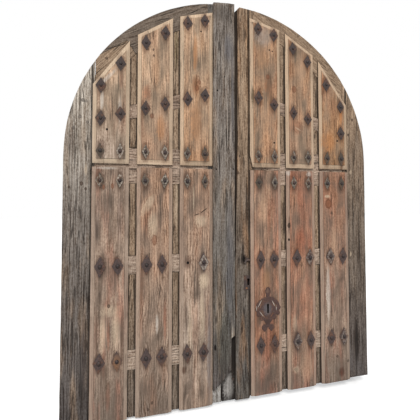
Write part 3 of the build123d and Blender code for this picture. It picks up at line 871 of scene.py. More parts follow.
class Bench:
    """Steps of modelling on one piece at a time, as by hand."""

    @staticmethod
    def only(piece: bpy.types.Object) -> None:
        """Select one piece and nothing else.

        Args:
            piece: The piece.
        """
        bpy.ops.object.select_all(action="DESELECT")
        piece.select_set(True)
        bpy.context.view_layer.objects.active = piece

    @staticmethod
    def settle(piece: bpy.types.Object) -> None:
        """Put the piece's place, turn and size into its mesh."""
        Bench.only(piece)
        bpy.ops.object.transform_apply(location=True, rotation=True, scale=True)

    @staticmethod
    def copied(node: bpy.types.Object, name: str) -> bpy.types.Object:
        """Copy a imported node, with its corners merged and its flat faces whole again.

        Args:
            node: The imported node.
            name: Name of the copy.

        Returns:
            The copy.
        """
        piece = bpy.data.objects.new(name, node.data.copy())
        piece.data.name = name
        piece.data.materials.clear()
        bpy.context.scene.collection.objects.link(piece)
        Bench.only(piece)
        bpy.ops.object.mode_set(mode="EDIT")
        bpy.ops.mesh.select_all(action="SELECT")
        bpy.ops.mesh.remove_doubles(threshold=0.00002)
        bpy.ops.mesh.dissolve_limited(angle_limit=math.radians(1.0))
        bpy.ops.object.mode_set(mode="OBJECT")
        return piece

    @staticmethod
    def slice(piece: bpy.types.Object, axis: int, step: float) -> None:
        """Divide a piece by parallel planes, so that it can be worn unevenly.

        Args:
            piece: The piece.
            axis: Which axis the planes cross: 0, 1 or 2.
            step: Distance between the planes in millimetres.
        """
        low = min(vertex.co[axis] for vertex in piece.data.vertices)
        high = max(vertex.co[axis] for vertex in piece.data.vertices)
        count = int((high - low) / (step * MILLIMETRE))
        normal = [0.0, 0.0, 0.0]
        normal[axis] = 1.0
        Bench.only(piece)
        bpy.ops.object.mode_set(mode="EDIT")
        for number in range(1, count):
            place = [0.0, 0.0, 0.0]
            place[axis] = low + (high - low) * number / count
            bpy.ops.mesh.select_all(action="SELECT")
            bpy.ops.mesh.bisect(plane_co=place, plane_no=normal)
        bpy.ops.object.mode_set(mode="OBJECT")

    @staticmethod
    def ease_edges(piece: bpy.types.Object, width: float, angle: float = 50.0) -> None:
        """Round the sharp edges of a piece off.

        Args:
            piece: The piece.
            width: Width of the rounding in millimetres.
            angle: The least angle of an edge that is rounded off, in degrees.
        """
        Bench.only(piece)
        bevel = piece.modifiers.new("eased", "BEVEL")
        bevel.width = width * MILLIMETRE
        bevel.segments = 1
        bevel.limit_method = "ANGLE"
        bevel.angle_limit = math.radians(angle)
        bevel.use_clamp_overlap = True
        bpy.ops.object.modifier_apply(modifier=bevel.name)

    @staticmethod
    def wear(piece: bpy.types.Object, size: float, depth: float, stretch: tuple[float, float, float],
             seed: float) -> None:
        """Press an uneven pattern into a piece; it never stands out further than it did.

        Args:
            piece: The piece.
            size: Size of the hollows in millimetres.
            depth: How deep they are.
            stretch: How much longer they are along each axis.
            seed: Which part of the pattern.
        """
        pattern = bpy.data.textures.new("wear", "CLOUDS")
        pattern.noise_scale = size * MILLIMETRE
        pattern.noise_depth = 2
        guide = bpy.data.objects.new("wear_guide", None)
        bpy.context.scene.collection.objects.link(guide)
        guide.location = (seed * 0.37, seed * 0.53, seed * 0.71)
        guide.scale = stretch
        bpy.context.view_layer.update()
        Bench.only(piece)
        worn = piece.modifiers.new("worn", "DISPLACE")
        worn.texture = pattern
        worn.texture_coords = "OBJECT"
        worn.texture_coords_object = guide
        worn.direction = "NORMAL"
        worn.mid_level = 1.0
        worn.strength = depth * MILLIMETRE
        bpy.ops.object.modifier_apply(modifier=worn.name)
        bpy.data.objects.remove(guide)

    @staticmethod
    def smooth(piece: bpy.types.Object, angle: float = 35.0) -> None:
        """Shade a piece smooth where it bends gently."""
        Bench.only(piece)
        bpy.ops.object.shade_smooth_by_angle(angle=math.radians(angle))

    @staticmethod
    def joined(pieces: Sequence[bpy.types.Object], name: str) -> bpy.types.Object:
        """Join pieces into one.

        Args:
            pieces: The pieces; the first takes in the others.
            name: Name of the joined piece.

        Returns:
            The joined piece.
        """
        bpy.ops.object.select_all(action="DESELECT")
        for piece in pieces:
            piece.select_set(True)
        bpy.context.view_layer.objects.active = pieces[0]
        bpy.ops.object.join()
        pieces[0].name = name
        pieces[0].data.name = name
        return pieces[0]


@dataclass(frozen=True)
class Wear:
    """How a length of timber is worn.

    Attributes:
        slices: Distance between the cuts across its length.
        axis: The axis along its length: 0 or 2.
        cross: Distance between cuts across its width, or None.
        edge: Width of the eased edges.
        depth: Depth of the wear.
    """

    slices: float = 36.0
    axis: int = 2
    cross: float | None = 45.0
    edge: float = 1.6
    depth: float = 3.0

    def make(self, node: bpy.types.Object, body: str, slot: str, material: bpy.types.Material,
             seed: float) -> bpy.types.Object:
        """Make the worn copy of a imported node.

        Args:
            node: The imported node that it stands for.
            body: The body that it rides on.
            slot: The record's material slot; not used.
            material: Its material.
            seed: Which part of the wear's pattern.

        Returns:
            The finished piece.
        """
        name = node.name
        piece = Bench.copied(node, f"{name}_worn")
        Bench.ease_edges(piece, self.edge)
        Bench.slice(piece, self.axis, self.slices)
        if self.cross:
            Bench.slice(piece, 2 - self.axis, self.cross)
        stretch = (1.0, 1.0, 4.0) if self.axis == 2 else (4.0, 1.0, 1.0)
        Bench.wear(piece, size=42, depth=self.depth, stretch=stretch, seed=seed)
        piece.data.materials.append(material)
        Bench.smooth(piece)
        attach(piece, body)
        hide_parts(name)
        log.info("made %s", piece.name)
        return piece


def dress(nodes: dict[str, bpy.types.Object], names: Sequence[str], material: bpy.types.Material) -> None:
    """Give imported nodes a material.

    Args:
        nodes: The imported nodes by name.
        names: Which of them.
        material: The material.
    """
    for name in names:
        for slot in nodes[name].material_slots:
            slot.material = material
        log.info("dressed %s", name)


@dataclass
class Studio:
    """Floor, light and camera.

    Attributes:
        sight: The photograph's viewpoint.
        floor_size: Width of the floor in metres.
    """

    sight: Sight = SIGHT
    floor_size: float = 60.0

    def build(self) -> None:
        """Build everything that is not the door."""
        self.camera()
        self.floor()
        self.world()
        self.lamps()
        bpy.context.scene.view_settings.view_transform = "Standard"

    def camera(self) -> None:
        """Stand the camera where the photograph was taken."""
        data = bpy.data.cameras.new("door_camera")
        data.sensor_width = SENSOR
        data.lens = self.sight.lens
        data.shift_y = self.sight.shift
        camera = bpy.data.objects.new("door_camera", data)
        bpy.context.scene.collection.objects.link(camera)
        camera.location = spot(*self.sight.eye)
        camera.rotation_euler = (math.radians(90 + self.sight.rise), 0.0, -math.radians(self.sight.turn))
        bpy.context.scene.camera = camera

    def floor(self) -> None:
        """A wide pale floor at the door's foot."""
        bpy.ops.object.select_all(action="DESELECT")
        bpy.ops.mesh.primitive_plane_add(size=self.floor_size, location=(0.0, 0.0, 0.0))
        plane = bpy.context.active_object
        plane.name = "studio_floor"
        g = Graph("pale_floor")
        ray = g.node("ShaderNodeLightPath", output="Is Camera Ray")
        colour = g.mix(ray, (0.62, 0.62, 0.62), (0.9, 0.9, 0.9))
        seen = g.mix(ray, (0.0, 0.0, 0.0), (0.3, 0.3, 0.3))
        plane.data.materials.append(g.finish(colour, 0.9, None, 0.0, specular=0.0, glow=seen))

    def world(self) -> None:
        """An even pale sky, white where it is seen."""
        world = bpy.data.worlds.new("pale_sky")
        bpy.context.scene.world = world
        world.use_nodes = True
        nodes, links = world.node_tree.nodes, world.node_tree.links
        nodes.clear()
        ray = nodes.new("ShaderNodeLightPath")
        seen = nodes.new("ShaderNodeMath")
        seen.operation = "MAXIMUM"
        links.new(ray.outputs["Is Camera Ray"], seen.inputs[0])
        links.new(ray.outputs["Is Glossy Ray"], seen.inputs[1])
        dim, white = nodes.new("ShaderNodeBackground"), nodes.new("ShaderNodeBackground")
        dim.inputs["Color"].default_value = (0.96, 0.98, 1.0, 1.0)
        dim.inputs["Strength"].default_value = 0.62
        white.inputs["Strength"].default_value = 1.0
        white.inputs["Color"].default_value = (1.0, 1.0, 1.0, 1.0)
        choice, output = nodes.new("ShaderNodeMixShader"), nodes.new("ShaderNodeOutputWorld")
        links.new(seen.outputs[0], choice.inputs[0])
        links.new(dim.outputs[0], choice.inputs[1])
        links.new(white.outputs[0], choice.inputs[2])
        links.new(choice.outputs[0], output.inputs["Surface"])

    def lamps(self) -> None:
        """One broad soft light from above."""
        data = bpy.data.lights.new("high_light", "SUN")
        data.energy = 2.1
        data.angle = math.radians(22)
        data.color = (1.0, 0.985, 0.96)
        lamp = bpy.data.objects.new("high_light", data)
        bpy.context.scene.collection.objects.link(lamp)
        lamp.rotation_euler = (math.radians(48), 0.0, math.radians(-14))


@dataclass(frozen=True)
class LeafPlan:
    """Where the nails of one leaf are, in columns and rows.

    Attributes:
        side: The leaf's side.
        upper: Columns of nails in the upper boards.
        lower: Columns in the lower boards.
        top: Heights of the row under the arch.
        slant: Ends of the slanted row.
        lost: Place of the nail that is lost: its distance across and its height.
        outer: Which way its outer edge lies.
    """

    side: str
    upper: tuple[float, ...]
    lower: tuple[float, ...]
    top: tuple[float, ...]
    slant: tuple[tuple[float, float], tuple[float, float]]
    lost: tuple[float, float]
    outer: int

    def rows(self) -> dict[str, list[tuple[float, float]]]:
        """Every nail that is left, by the kind of its plate.

        Returns:
            Places by kind of plate.
        """
        (ax, az), (bx, bz) = self.slant
        slanted = [(x, az + (bz - az) * (x - ax) / (bx - ax)) for x in self.upper]
        found = {
            "upper": list(zip(self.upper, self.top)) + slanted,
            "middle": [(x, z) for z in MIDDLE_ROWS for x in self.upper],
            "lower": [(x, z) for z in LOWER_ROWS for x in self.lower],
        }
        return {kind: [place for place in places if math.dist(place, self.lost) > 5]
                for kind, places in found.items()}

    def on_boards(self, low: float, high: float, left: float,
                  right: float) -> tuple[tuple[float, float], ...]:
        """The nails between two heights and two edges."""
        return tuple((x, z) for places in self.rows().values() for x, z in places
                     if low < z < high and left < x < right)


LEFT = LeafPlan(
    side="left",
    upper=(-918, -790, -621, -487, -328, -201),
    lower=(-911, -798, -608, -503, -326, -210),
    top=(2209, 2368, 2530, 2615, 2705, 2739),
    slant=((-917, 1989), (-200, 2196)),
    lost=(-326, 1009),
    outer=-1)
RIGHT = LeafPlan(
    side="right",
    upper=(212, 340, 500, 624, 789, 915),
    lower=(223, 332, 519, 630, 808, 919),
    top=(2731, 2697, 2611, 2520, 2353, 2186),
    slant=((212, 2208), (911, 1976)),
    lost=(789, 2016.5),
    outer=1)


@dataclass
class Framing:
    """The framing of both leaves and the frame behind them.

    Attributes:
        nodes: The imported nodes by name.
        upright: How stiles and the cover strip are worn.
        level: How the curved heads are worn.
        hidden: How the frame's posts are worn.
        hidden_level: How the frame's arch is worn.
    """

    nodes: dict[str, bpy.types.Object]
    upright: Wear = Wear(slices=34.0, axis=2, cross=50.0, edge=2.2, depth=4.0)
    level: Wear = Wear(slices=40.0, axis=0, cross=45.0, edge=1.6, depth=3.0)
    hidden: Wear = Wear(slices=90.0, axis=2, cross=None, edge=2.5, depth=3.0)
    hidden_level: Wear = Wear(slices=90.0, axis=0, cross=None, edge=2.5, depth=3.0)

    def build(self) -> None:
        """Make stiles, curved heads, rails, muntins, cover strip and frame."""
        self.stiles()
        self.heads()
        self.rails_and_muntins()
        self.strip()
        self.frame()

    def stiles(self) -> None:
        """The four upright stiles."""
        left = WeatheredWood(
            "left_stile_wood",
            ((150, PEAT), (1350, DRIFTWOOD), (2150, STONE)),
            width=7, length=460, curl=7, contrast=1.15, cracks=0.75, relief=2.8, seed=1.0, figure=0.3,
            warm=EARTH, warm_share=0.25,
            shade_lines=(-972,), marks=(
                knot(83, 100, 1.7, 1.8, DRIFTWOOD, 0.8), knot(86.6, 101, 1.3, 1.5, DRIFTWOOD, 0.7),
                knot(79.9, 116.5, 1.5, 1.7, DRIFTWOOD, 0.8),
                knot(87.5, 122, 1.3, 1.5, DRIFTWOOD, 0.8),
                knot(73.4, 128, 1.5, 1.6, DRIFTWOOD, 0.8),
                crack(81.3, 83, 85.7, 107, 0.4), crack(89, 69.6, 90.6, 80.4, 0.4),
                wash(85.8, 169.5, 1.6, 6, CREAM, 0.5),
                knot(68.8, 187, 1.2, 1.3, DARK_KNOT), knot(81.3, 183.6, 1.6, 2.0, DARK_KNOT),
                knot(85.7, 189, 1.2, 1.6, DARK_KNOT),
                crack(77.5, 170, 76.5, 215, 0.35), crack(70, 225, 69, 292, 0.4),
                crack(79, 235, 78, 300, 0.4),
                crack(84, 262, 83.2, 322, 0.4), crack(73, 305, 72, 380, 0.4),
                stain(84, 350, 3, 45, strength=0.5),
                stain(72, 140, 4, 18, strength=0.35)))
        self.stile("left_hanging_stile", "left_leaf", left, 1.0)
        right = WeatheredWood(
            "right_stile_wood",
            ((150, PEAT), (1200, BARK), (2200, EARTH)),
            width=7, length=460, curl=7, contrast=1.2, cracks=0.65, relief=2.6, seed=2.0, figure=0.3,
            warm=BARK, warm_share=0.3,
            shade_lines=(979,), marks=(
                crack(345.5, 95.5, 345.6, 99.2, 0.5), knot(352.2, 120, 1.1, 1.4, DARK_KNOT),
                knot(348.2, 134.8, 0.9, 1.1, DARK_KNOT), wash(350.9, 172, 0.9, 2.4, CREAM, 0.6),
                wash(350.9, 253.7, 0.9, 2.4, CREAM, 0.6),
                stain(357, 339, 2.6, 26, (0.2, 0.17, 0.16), 0.85), crack(357, 318, 357.4, 360, 0.9),
                crack(353, 190, 353.6, 245, 0.35), crack(359, 205, 359.5, 262, 0.35)))
        self.stile("right_hanging_stile", "right_leaf", right, 2.0)
        meeting = WeatheredWood(
            "right_meeting_wood",
            ((150, SMOKE), (1250, BARK), (1900, EARTH)),
            width=7, length=460, curl=6, contrast=1.25, cracks=0.6, relief=2.4, seed=3.0, figure=0.3,
            warm=AMBER, warm_share=0.2,
            # Painted shade: the recess under the cover strip is darkened, and lines run beside the strip's
            # edge and a board's edge.
            recess=True, shade_lines=(143, 23, 31), marks=(
                knot(248.7, 92, 0.9, 1.5), knot(238.4, 173, 1.0, 1.4), knot(239.7, 156, 0.9, 1.2),
                knot(238.4, 240, 1.0, 1.4), knot(236.2, 317, 1.1, 1.5, DARK_KNOT),
                knot(233.7, 380, 1.0, 1.5, DARK_KNOT),
                crack(246.4, 170, 246.8, 237, 0.5), crack(247.8, 183, 247.9, 226, 0.35),
                stain(242, 330, 7, 66, (0.66, 0.68, 0.72), 0.5),
                stain(244.3, 259, 3.0, 5.5, (0.1, 0.08, 0.08), 0.9),
                hole(244, 259, 1.6, 2.8), stain(251.6, 283, 1.0, 7, (0.4, 0.2, 0.14), 0.7),
                wash(229, 387, 5, 15, BONE, 0.7), crack(238, 60, 238.5, 130, 0.35),
                stain(238, 25, 3, 16, strength=0.4)))
        self.stile("right_meeting_stile", "right_leaf", meeting, 3.0)
        bare = WeatheredWood(
            "left_meeting_wood", ((0, BONE), (400, SMOKE)),
            width=5, length=200, curl=4, contrast=1.5, seed=4.0,
            marks=(crack(221.4, 383, 221.2, 402, 0.7, 1.0), crack(217.3, 380, 217, 404, 0.4),
                   stain(219, 376, 3, 5, (0.3, 0.28, 0.28), 0.8)))
        self.stile("left_meeting_stile", "left_leaf", bare, 4.0)

    def stile(self, name: str, body: str, wood: WeatheredWood, seed: float) -> None:
        """Make one stile in its own wood."""
        self.upright.make(self.nodes[name], body, "framing_timber", wood.material(), seed)

    def heads(self) -> None:
        """The curved heads under the arch."""
        marks = (
            knot(106.7, 58.5, 1.3, 1.3, DARK_KNOT), crack(95.5, 66, 95.5, 76, 0.4),
            crack(103.6, 51.8, 130.4, 40.2, 0.5), crack(190, 14, 200, 8.5, 0.45),
            crack(200, 8.5, 208, 6.5, 0.45))
        for name, body, lean, middle in (
                ("left_arch_lower_felloe", "left_leaf", 44, EARTH),
                ("left_arch_upper_felloe", "left_leaf", 66, BARK),
                ("right_arch_felloe", "right_leaf", -58, EARTH)):
            wood = WeatheredWood(
                f"{name}_wood", ((0, middle),), lean=lean, width=6, length=300, curl=6, contrast=1.1,
                cracks=0.45, seed=5.0 + lean, relief=2.2, marks=marks if body == "left_leaf" else ())
            self.level.make(self.nodes[name], body, "framing_timber", wood.material(), 5.0)

    def rails_and_muntins(self) -> None:
        """The rails and muntins that show between the boards."""
        slats = WeatheredWood(
            "muntin_wood",
            ((150, BARK), (1000, EARTH), (1900, EARTH)),
            width=5, length=160, curl=5, contrast=1.3, cracks=0.6, seed=6.0, figure=0.2,
            # Painted shade: dark lines on the muntins beside the boards' edges.
            shade_lines=(-727, -679, -430, -383, 395, 436, 680, 723), marks=(
                crack(133, 158, 136.5, 167, 0.8, 1.0), wash(133.8, 174, 2.6, 8, CHALK, 0.7),
                knot(136.6, 201.4, 1.1, 1.5), wash(134, 264, 1.8, 9, CREAM, 0.7),
                wash(133.6, 359, 1.8, 10, CHALK, 0.6),
                wash(176.5, 200, 1.4, 34, CREAM, 0.45), wash(176.5, 266, 1.6, 6, CREAM, 0.7),
                wash(176, 354, 1.6, 9, CREAM, 0.6), stain(176.5, 45, 2, 26, (0.7, 0.76, 0.6), 0.6),
                wash(281.5, 257, 1.7, 7, CREAM, 0.65), wash(282, 341, 1.7, 9, CREAM, 0.6),
                stain(281.5, 109, 1.6, 6, strength=0.6), crack(279.6, 42, 282.4, 45, 0.5),
                crack(313.6, 70, 316.4, 76, 0.5), wash(315, 257, 1.5, 8, CREAM, 0.65),
                stain(316, 364, 1.6, 17, (0.4, 0.3, 0.26), 0.8)))
        level = WeatheredWood(
            "rail_wood", ((0, BLEACHED), (2400, FADED)),
            lean=90, width=5, length=160, curl=4, contrast=1.3, cracks=0.5, seed=7.0, figure=0.2)
        slats, level = slats.material(), level.material()
        across = Wear(slices=45.0, axis=2, cross=None, edge=1.6, depth=3.0)
        along = Wear(slices=45.0, axis=0, cross=None, edge=1.6, depth=3.0)
        for side in ("left", "right"):
            for part in ("lower_muntins", "upper_muntins"):
                across.make(self.nodes[f"{side}_{part}"], f"{side}_leaf", "framing_timber", slats, 6.0)
            for part in ("foot_rail", "waist_rail", "middle_rail", "slanted_rail"):
                along.make(self.nodes[f"{side}_{part}"], f"{side}_leaf", "framing_timber", level, 7.0)

    def strip(self) -> None:
        """The cover strip with its broken foot."""
        wood = WeatheredWood(
            "strip_wood",
            ((150, PEAT), (700, SMOKE), (1800, DRIFTWOOD)),
            width=7, length=460, curl=9, contrast=1.2, cracks=0.6, relief=2.4, seed=9.0, figure=0.6,
            depth=STRIP_FRONT, warm=EARTH, warm_share=0.25,
            marks=(
                stain(223, 12, 10, 9, (0.5, 0.5, 0.5), 0.7), wash(228.5, 48, 4.5, 15, SLATE, 0.6),
                wash(232.6, 90, 1.4, 60, SLATE, 0.5), wash(230, 262, 4.0, 66, SLATE, 0.5),
                hole(217.6, 90.4, 0.8, 1.0), hole(224.6, 76.8, 0.6, 0.7), hole(216.5, 169.3, 0.6, 0.8),
                hole(233.7, 169, 0.6, 0.8), hole(215.3, 347.8, 1.1, 3.2),
                stain(224, 345, 8, 36, (0.66, 0.72, 0.66), 0.6), wash(232.8, 346, 0.5, 24, CHALK, 0.8),
                crack(219, 120, 219.6, 178, 0.35), crack(226, 180, 226.4, 250, 0.35),
                crack(221, 262, 221.4, 330, 0.4), crack(228.4, 100, 228.8, 150, 0.3)))
        self.upright.make(self.nodes["cover_strip"], "left_leaf", "strip_timber", wood.material(), 9.0)

    def frame(self) -> None:
        """The frame behind the leaves."""
        wood = WeatheredWood(
            "frame_wood", ((0, SMOKE), (2000, BARK)), contrast=0.9, seed=8.0)
        post, arch = wood.material(), WeatheredWood(
            "frame_arch_wood", ((0, BARK),), lean=90, contrast=0.9, seed=8.5).material()
        for name in ("frame_left_post", "frame_right_post"):
            self.hidden.make(self.nodes[name], "frame", "frame_timber", post, 8.0)
        for name in ("frame_arch_left_felloe", "frame_arch_crown_felloe", "frame_arch_right_felloe"):
            self.hidden_level.make(self.nodes[name], "frame", "frame_timber", arch, 8.0)
        dress(self.nodes, ["frame_pegs"], post)


@dataclass(frozen=True)
class BoardLook:
    """How one board differs from the others.

    Attributes:
        low: Its tone at the lower end, or above the damp foot.
        high: Its tone at the upper end.
        foot: Its tone where rain splashes up, or None away from the ground.
        warm: Tone of its warm patches.
        warm_share: How much of it they take.
        rim: How strongly its border is pale.
        figure: How strongly its growth rings show.
        marks: Its own marks.
    """

    low: Colour
    high: Colour
    foot: Colour | None = None
    warm: Colour = RUSSET
    warm_share: float = 0.25
    rim: float = 0.7
    figure: float = 0.35
    marks: tuple[Mark, ...] = ()

    def heights(self) -> tuple[tuple[float, Colour], ...]:
        """Its middle tones by height, with the splashed foot where it has one.

        Returns:
            Heights and tones.
        """
        if self.foot is None:
            low, high = UPPER_TONES_AT
            return (low, self.low), (high, self.high)
        foot, low, high = LOWER_TONES_AT
        return (foot, self.foot), (low, self.low), (high, self.high)


UPPER_LOOKS = (
    BoardLook(
        BLEACHED, HONEY, rim=0.85, marks=(
            wash(102, 100, 2.0, 9, CHALK, 0.6), wash(120, 110, 2.0, 14, CHALK, 0.4),
            stain(121.5, 80, 2.5, 8, (0.8, 0.56, 0.5), 0.5), hole(106.9, 129.2, 1.1, 1.2),
            wash(108, 77, 13, 2.0, CHALK, 0.5, -48.0), crack(112, 92, 112.6, 120, 0.35),
            stain(96, 130, 2, 20, strength=0.3), wash(106, 160.5, 13, 1.2, CREAM, 0.5))),
    BoardLook(
        TAN, HONEY, marks=(
            crack(153, 29, 153.2, 41, 0.4), knot(148, 49, 1.2, 1.4), knot(153.6, 49.6, 1.0, 1.2),
            knot(154, 55.4, 1.0, 1.3),
            crack(149, 58, 151.8, 85, 0.5, 0.6), stain(147.5, 93, 4.5, 9, (0.74, 0.5, 0.42), 0.7),
            knot(152, 116, 2.0, 2.6, BROWN_KNOT, 0.6), wash(161, 128, 4.5, 13, RESIN, 0.45),
            crack(153, 106, 151.6, 128, 0.35, 0.6), wash(153, 163.5, 13, 1.3, CREAM, 0.6),
            stain(142, 120, 2.5, 26, strength=0.35), wash(147, 108, 3, 12, CREAM, 0.25),
            stain(157, 70, 3, 24, (0.8, 0.7, 0.62), 0.5))),
    BoardLook(
        OCHRE, HONEY, warm=AMBER, warm_share=0.3, marks=(
            stain(196.5, 85, 4.5, 10, (0.56, 0.4, 0.32), 0.75), knot(197, 88, 2.0, 3.0, BROWN_KNOT, 0.45),
            knot(199.5, 82, 1.6, 2.2, BROWN_KNOT, 0.4), wash(195.5, 52, 2.4, 19, RESIN, 0.5),
            hole(201, 31.4, 0.8, 0.9), wash(196, 122, 6, 22, RESIN, 0.35),
            stain(188, 60, 2.4, 30, (0.8, 0.66, 0.56), 0.4), wash(196, 164, 13, 1.2, CREAM, 0.5),
            crack(205, 40, 205.3, 70, 0.35, 0.6))),
    BoardLook(
        OCHRE, OCHRE, marks=(
            wash(264, 36, 9, 10, BONE, 0.3), wash(262, 58, 6, 13, AMBER, 0.35),
            stain(269, 85, 4.5, 13, (0.6, 0.42, 0.34), 0.6), knot(267.9, 76.8, 1.8, 2.4, BROWN_KNOT, 0.6),
            hole(269.4, 50, 0.7, 0.8), hole(272.3, 51.3, 0.6, 0.8), hole(274.3, 142.8, 0.8, 1.0),
            stain(253, 95, 1.6, 9, (0.24, 0.24, 0.2), 0.85), wash(264, 120, 6, 16, HONEY, 0.35),
            crack(260, 100, 260.3, 130, 0.35, 0.6), crack(255.8, 60, 256, 92, 0.35, 0.6))),
    BoardLook(
        TAN, OCHRE, marks=(
            knot(294.2, 89.3, 2.2, 3.4, BROWN_KNOT, 0.55), stain(297, 126.5, 7, 8, (0.72, 0.52, 0.46), 0.6),
            crack(292, 128, 298, 133.6, 0.5, 0.3), wash(298, 129, 3.4, 0.9, CREAM, 0.4, 28.0),
            stain(290, 60, 2, 22, strength=0.35), wash(301, 75, 3, 20, HONEY, 0.4),
            crack(297, 98, 297.4, 120, 0.35, 0.5))),
    BoardLook(
        AMBER, OCHRE, marks=(
            stain(322.5, 85, 1.6, 13, (0.5, 0.36, 0.28), 0.7), wash(341, 117, 1.6, 8, RESIN, 0.6),
            wash(328, 142, 7, 10, RESIN, 0.5), hole(337.2, 141, 0.8, 1.0),
            stain(342, 167, 1.2, 5, (0.4, 0.3, 0.26), 0.7), stain(334, 110, 2.4, 20, strength=0.3))),
)

LOWER_LOOKS = (
    BoardLook(
        FADED, FADED, foot=DAMP, warm=RED, marks=(
            wash(107, 168, 11, 1.4, CHALK, 0.5), knot(103.6, 187, 1.4, 2.6, BROWN_KNOT, 0.6),
            knot(112.5, 186, 1.5, 2.8, BROWN_KNOT, 0.6), crack(111, 167, 111.2, 177, 0.45),
            crack(109, 177, 109.4, 192, 0.4), stain(97, 220, 2.6, 26, (0.62, 0.6, 0.64), 0.6),
            stain(119.5, 220, 2.4, 26, (0.62, 0.6, 0.64), 0.6), wash(108.5, 311, 9, 6, CREAM, 0.4),
            knot(108.7, 306.4, 1.5, 1.8), wash(102.5, 334, 3.0, 20, CREAM, 0.5),
            wash(115.5, 331, 4.0, 20, CREAM, 0.5),
            stain(108.5, 335, 1.6, 18, (0.8, 0.52, 0.44), 0.7), stain(96.5, 335, 2.0, 30, strength=0.7),
            stain(122, 335, 1.8, 30, strength=0.7), stain(108, 397, 2.6, 15, (0.85, 0.56, 0.48), 0.6),
            stain(104, 372, 3, 8, strength=0.4))),
    BoardLook(
        FADED, TAN, foot=DAMP, figure=1.4, marks=(
            wash(148, 205, 4, 12, CREAM, 0.5, 30.0), wash(153, 225, 5, 13, CREAM, 0.5),
            stain(146, 222, 2.6, 18, (0.6, 0.44, 0.38), 0.6), knot(154.5, 240, 2.6, 5.5, BROWN_KNOT, 0.5),
            wash(157, 324, 1.6, 10, CHALK, 0.6), stain(165, 319, 1.8, 22, (0.8, 0.5, 0.42), 0.7),
            knot(152, 403, 1.3, 1.6, DARK_KNOT), knot(148, 410, 1.2, 1.5, DARK_KNOT),
            stain(142, 300, 2.0, 50, strength=0.5), crack(160, 188, 160.6, 236, 0.4, 0.6),
            crack(149, 270, 149.4, 312, 0.4, 0.6), stain(152, 385, 10, 14, (0.75, 0.72, 0.7), 0.5))),
    BoardLook(
        BLEACHED, TAN, foot=FADED, figure=0.8, marks=(
            crack(194.4, 171, 194.5, 176, 0.45), wash(193.7, 198, 0.7, 12, CREAM, 0.6),
            crack(208, 207.7, 200, 213.5, 0.6), crack(200, 213.5, 193.8, 215.7, 0.5),
            wash(201, 221, 6, 6, CREAM, 0.5),
            hole(187.9, 262.9, 1.3, 1.4), stain(187.9, 262, 3.4, 7.0, (0.5, 0.42, 0.4), 0.7),
            crack(194.6, 264, 194.8, 311, 0.5), wash(204, 281, 5, 8, CREAM, 0.65),
            wash(202, 316, 2.6, 30, CREAM, 0.5),
            wash(209.5, 350, 2.4, 52, SLATE, 0.55), stain(184.2, 370.2, 2.6, 4, (0.4, 0.3, 0.26), 0.8),
            stain(182, 240, 2, 40, strength=0.35), wash(190, 330, 2.4, 30, CREAM, 0.35))),
    BoardLook(
        RUSSET, TAN, foot=DAMP, warm=RED, warm_share=0.5, marks=(
            stain(269, 217, 1.8, 26, (0.74, 0.5, 0.44), 0.5), stain(257.5, 220, 1.6, 30, (0.6, 0.6, 0.62),
            0.6),
            wash(266.5, 280, 4.0, 12, AMBER, 0.5), stain(258, 310, 3.4, 26, strength=0.5),
            stain(274, 320, 2.6, 30, strength=0.45), stain(266, 385, 9, 16, (0.7, 0.7, 0.72), 0.6),
            crack(263, 190, 263.2, 242, 0.35, 0.6), wash(263, 205, 2.0, 20, HONEY, 0.4))),
    BoardLook(
        TAN, RUSSET, foot=DAMP, warm=RED, warm_share=0.6, marks=(
            wash(288.5, 173, 2.2, 3, CHALK, 0.6), wash(309, 174, 2.4, 3, CHALK, 0.6),
            crack(300, 173, 300.2, 180, 0.45), knot(289.3, 225.5, 1.3, 2.4, DARK_KNOT, 0.9),
            crack(289.5, 214, 289.2, 236, 0.4), hole(289.3, 239.8, 0.8, 1.4),
            stain(302, 243, 8, 15, (0.84, 0.56, 0.5), 0.65), wash(295, 323, 2.4, 9, CREAM, 0.3),
            knot(296.4, 369.7, 1.8, 2.0, DARK_KNOT, 0.8), wash(296.4, 369.7, 3.4, 3.8, CREAM, 0.35),
            wash(307, 367, 6, 15, HONEY, 0.4), crack(304, 190, 304.4, 232, 0.35, 0.6),
            stain(291, 300, 2, 26, strength=0.4), stain(309, 320, 2, 40, strength=0.35))),
    BoardLook(
        FADED, RUSSET, foot=DAMP, warm=RED, warm_share=0.35, marks=(
            knot(328.6, 203.7, 3.1, 5.0, BROWN_KNOT, 0.8), wash(327.7, 196.4, 2.6, 1.6, CREAM, 0.6),
            knot(331.7, 213, 1.1, 1.5), wash(328.5, 293, 2.2, 28, CHALK, 0.55),
            stain(325.5, 300, 1.0, 26, (0.55, 0.52, 0.54), 0.6), knot(337.6, 356.4, 1.2, 1.4),
            knot(348.5, 361, 1.1, 1.4), stain(342, 372, 3.0, 5, (0.5, 0.32, 0.28), 0.8),
            crack(336, 200, 336.4, 245, 0.35, 0.6), stain(341, 300, 2.4, 50, strength=0.35),
            wash(334, 240, 3, 16, HONEY, 0.35))),
)


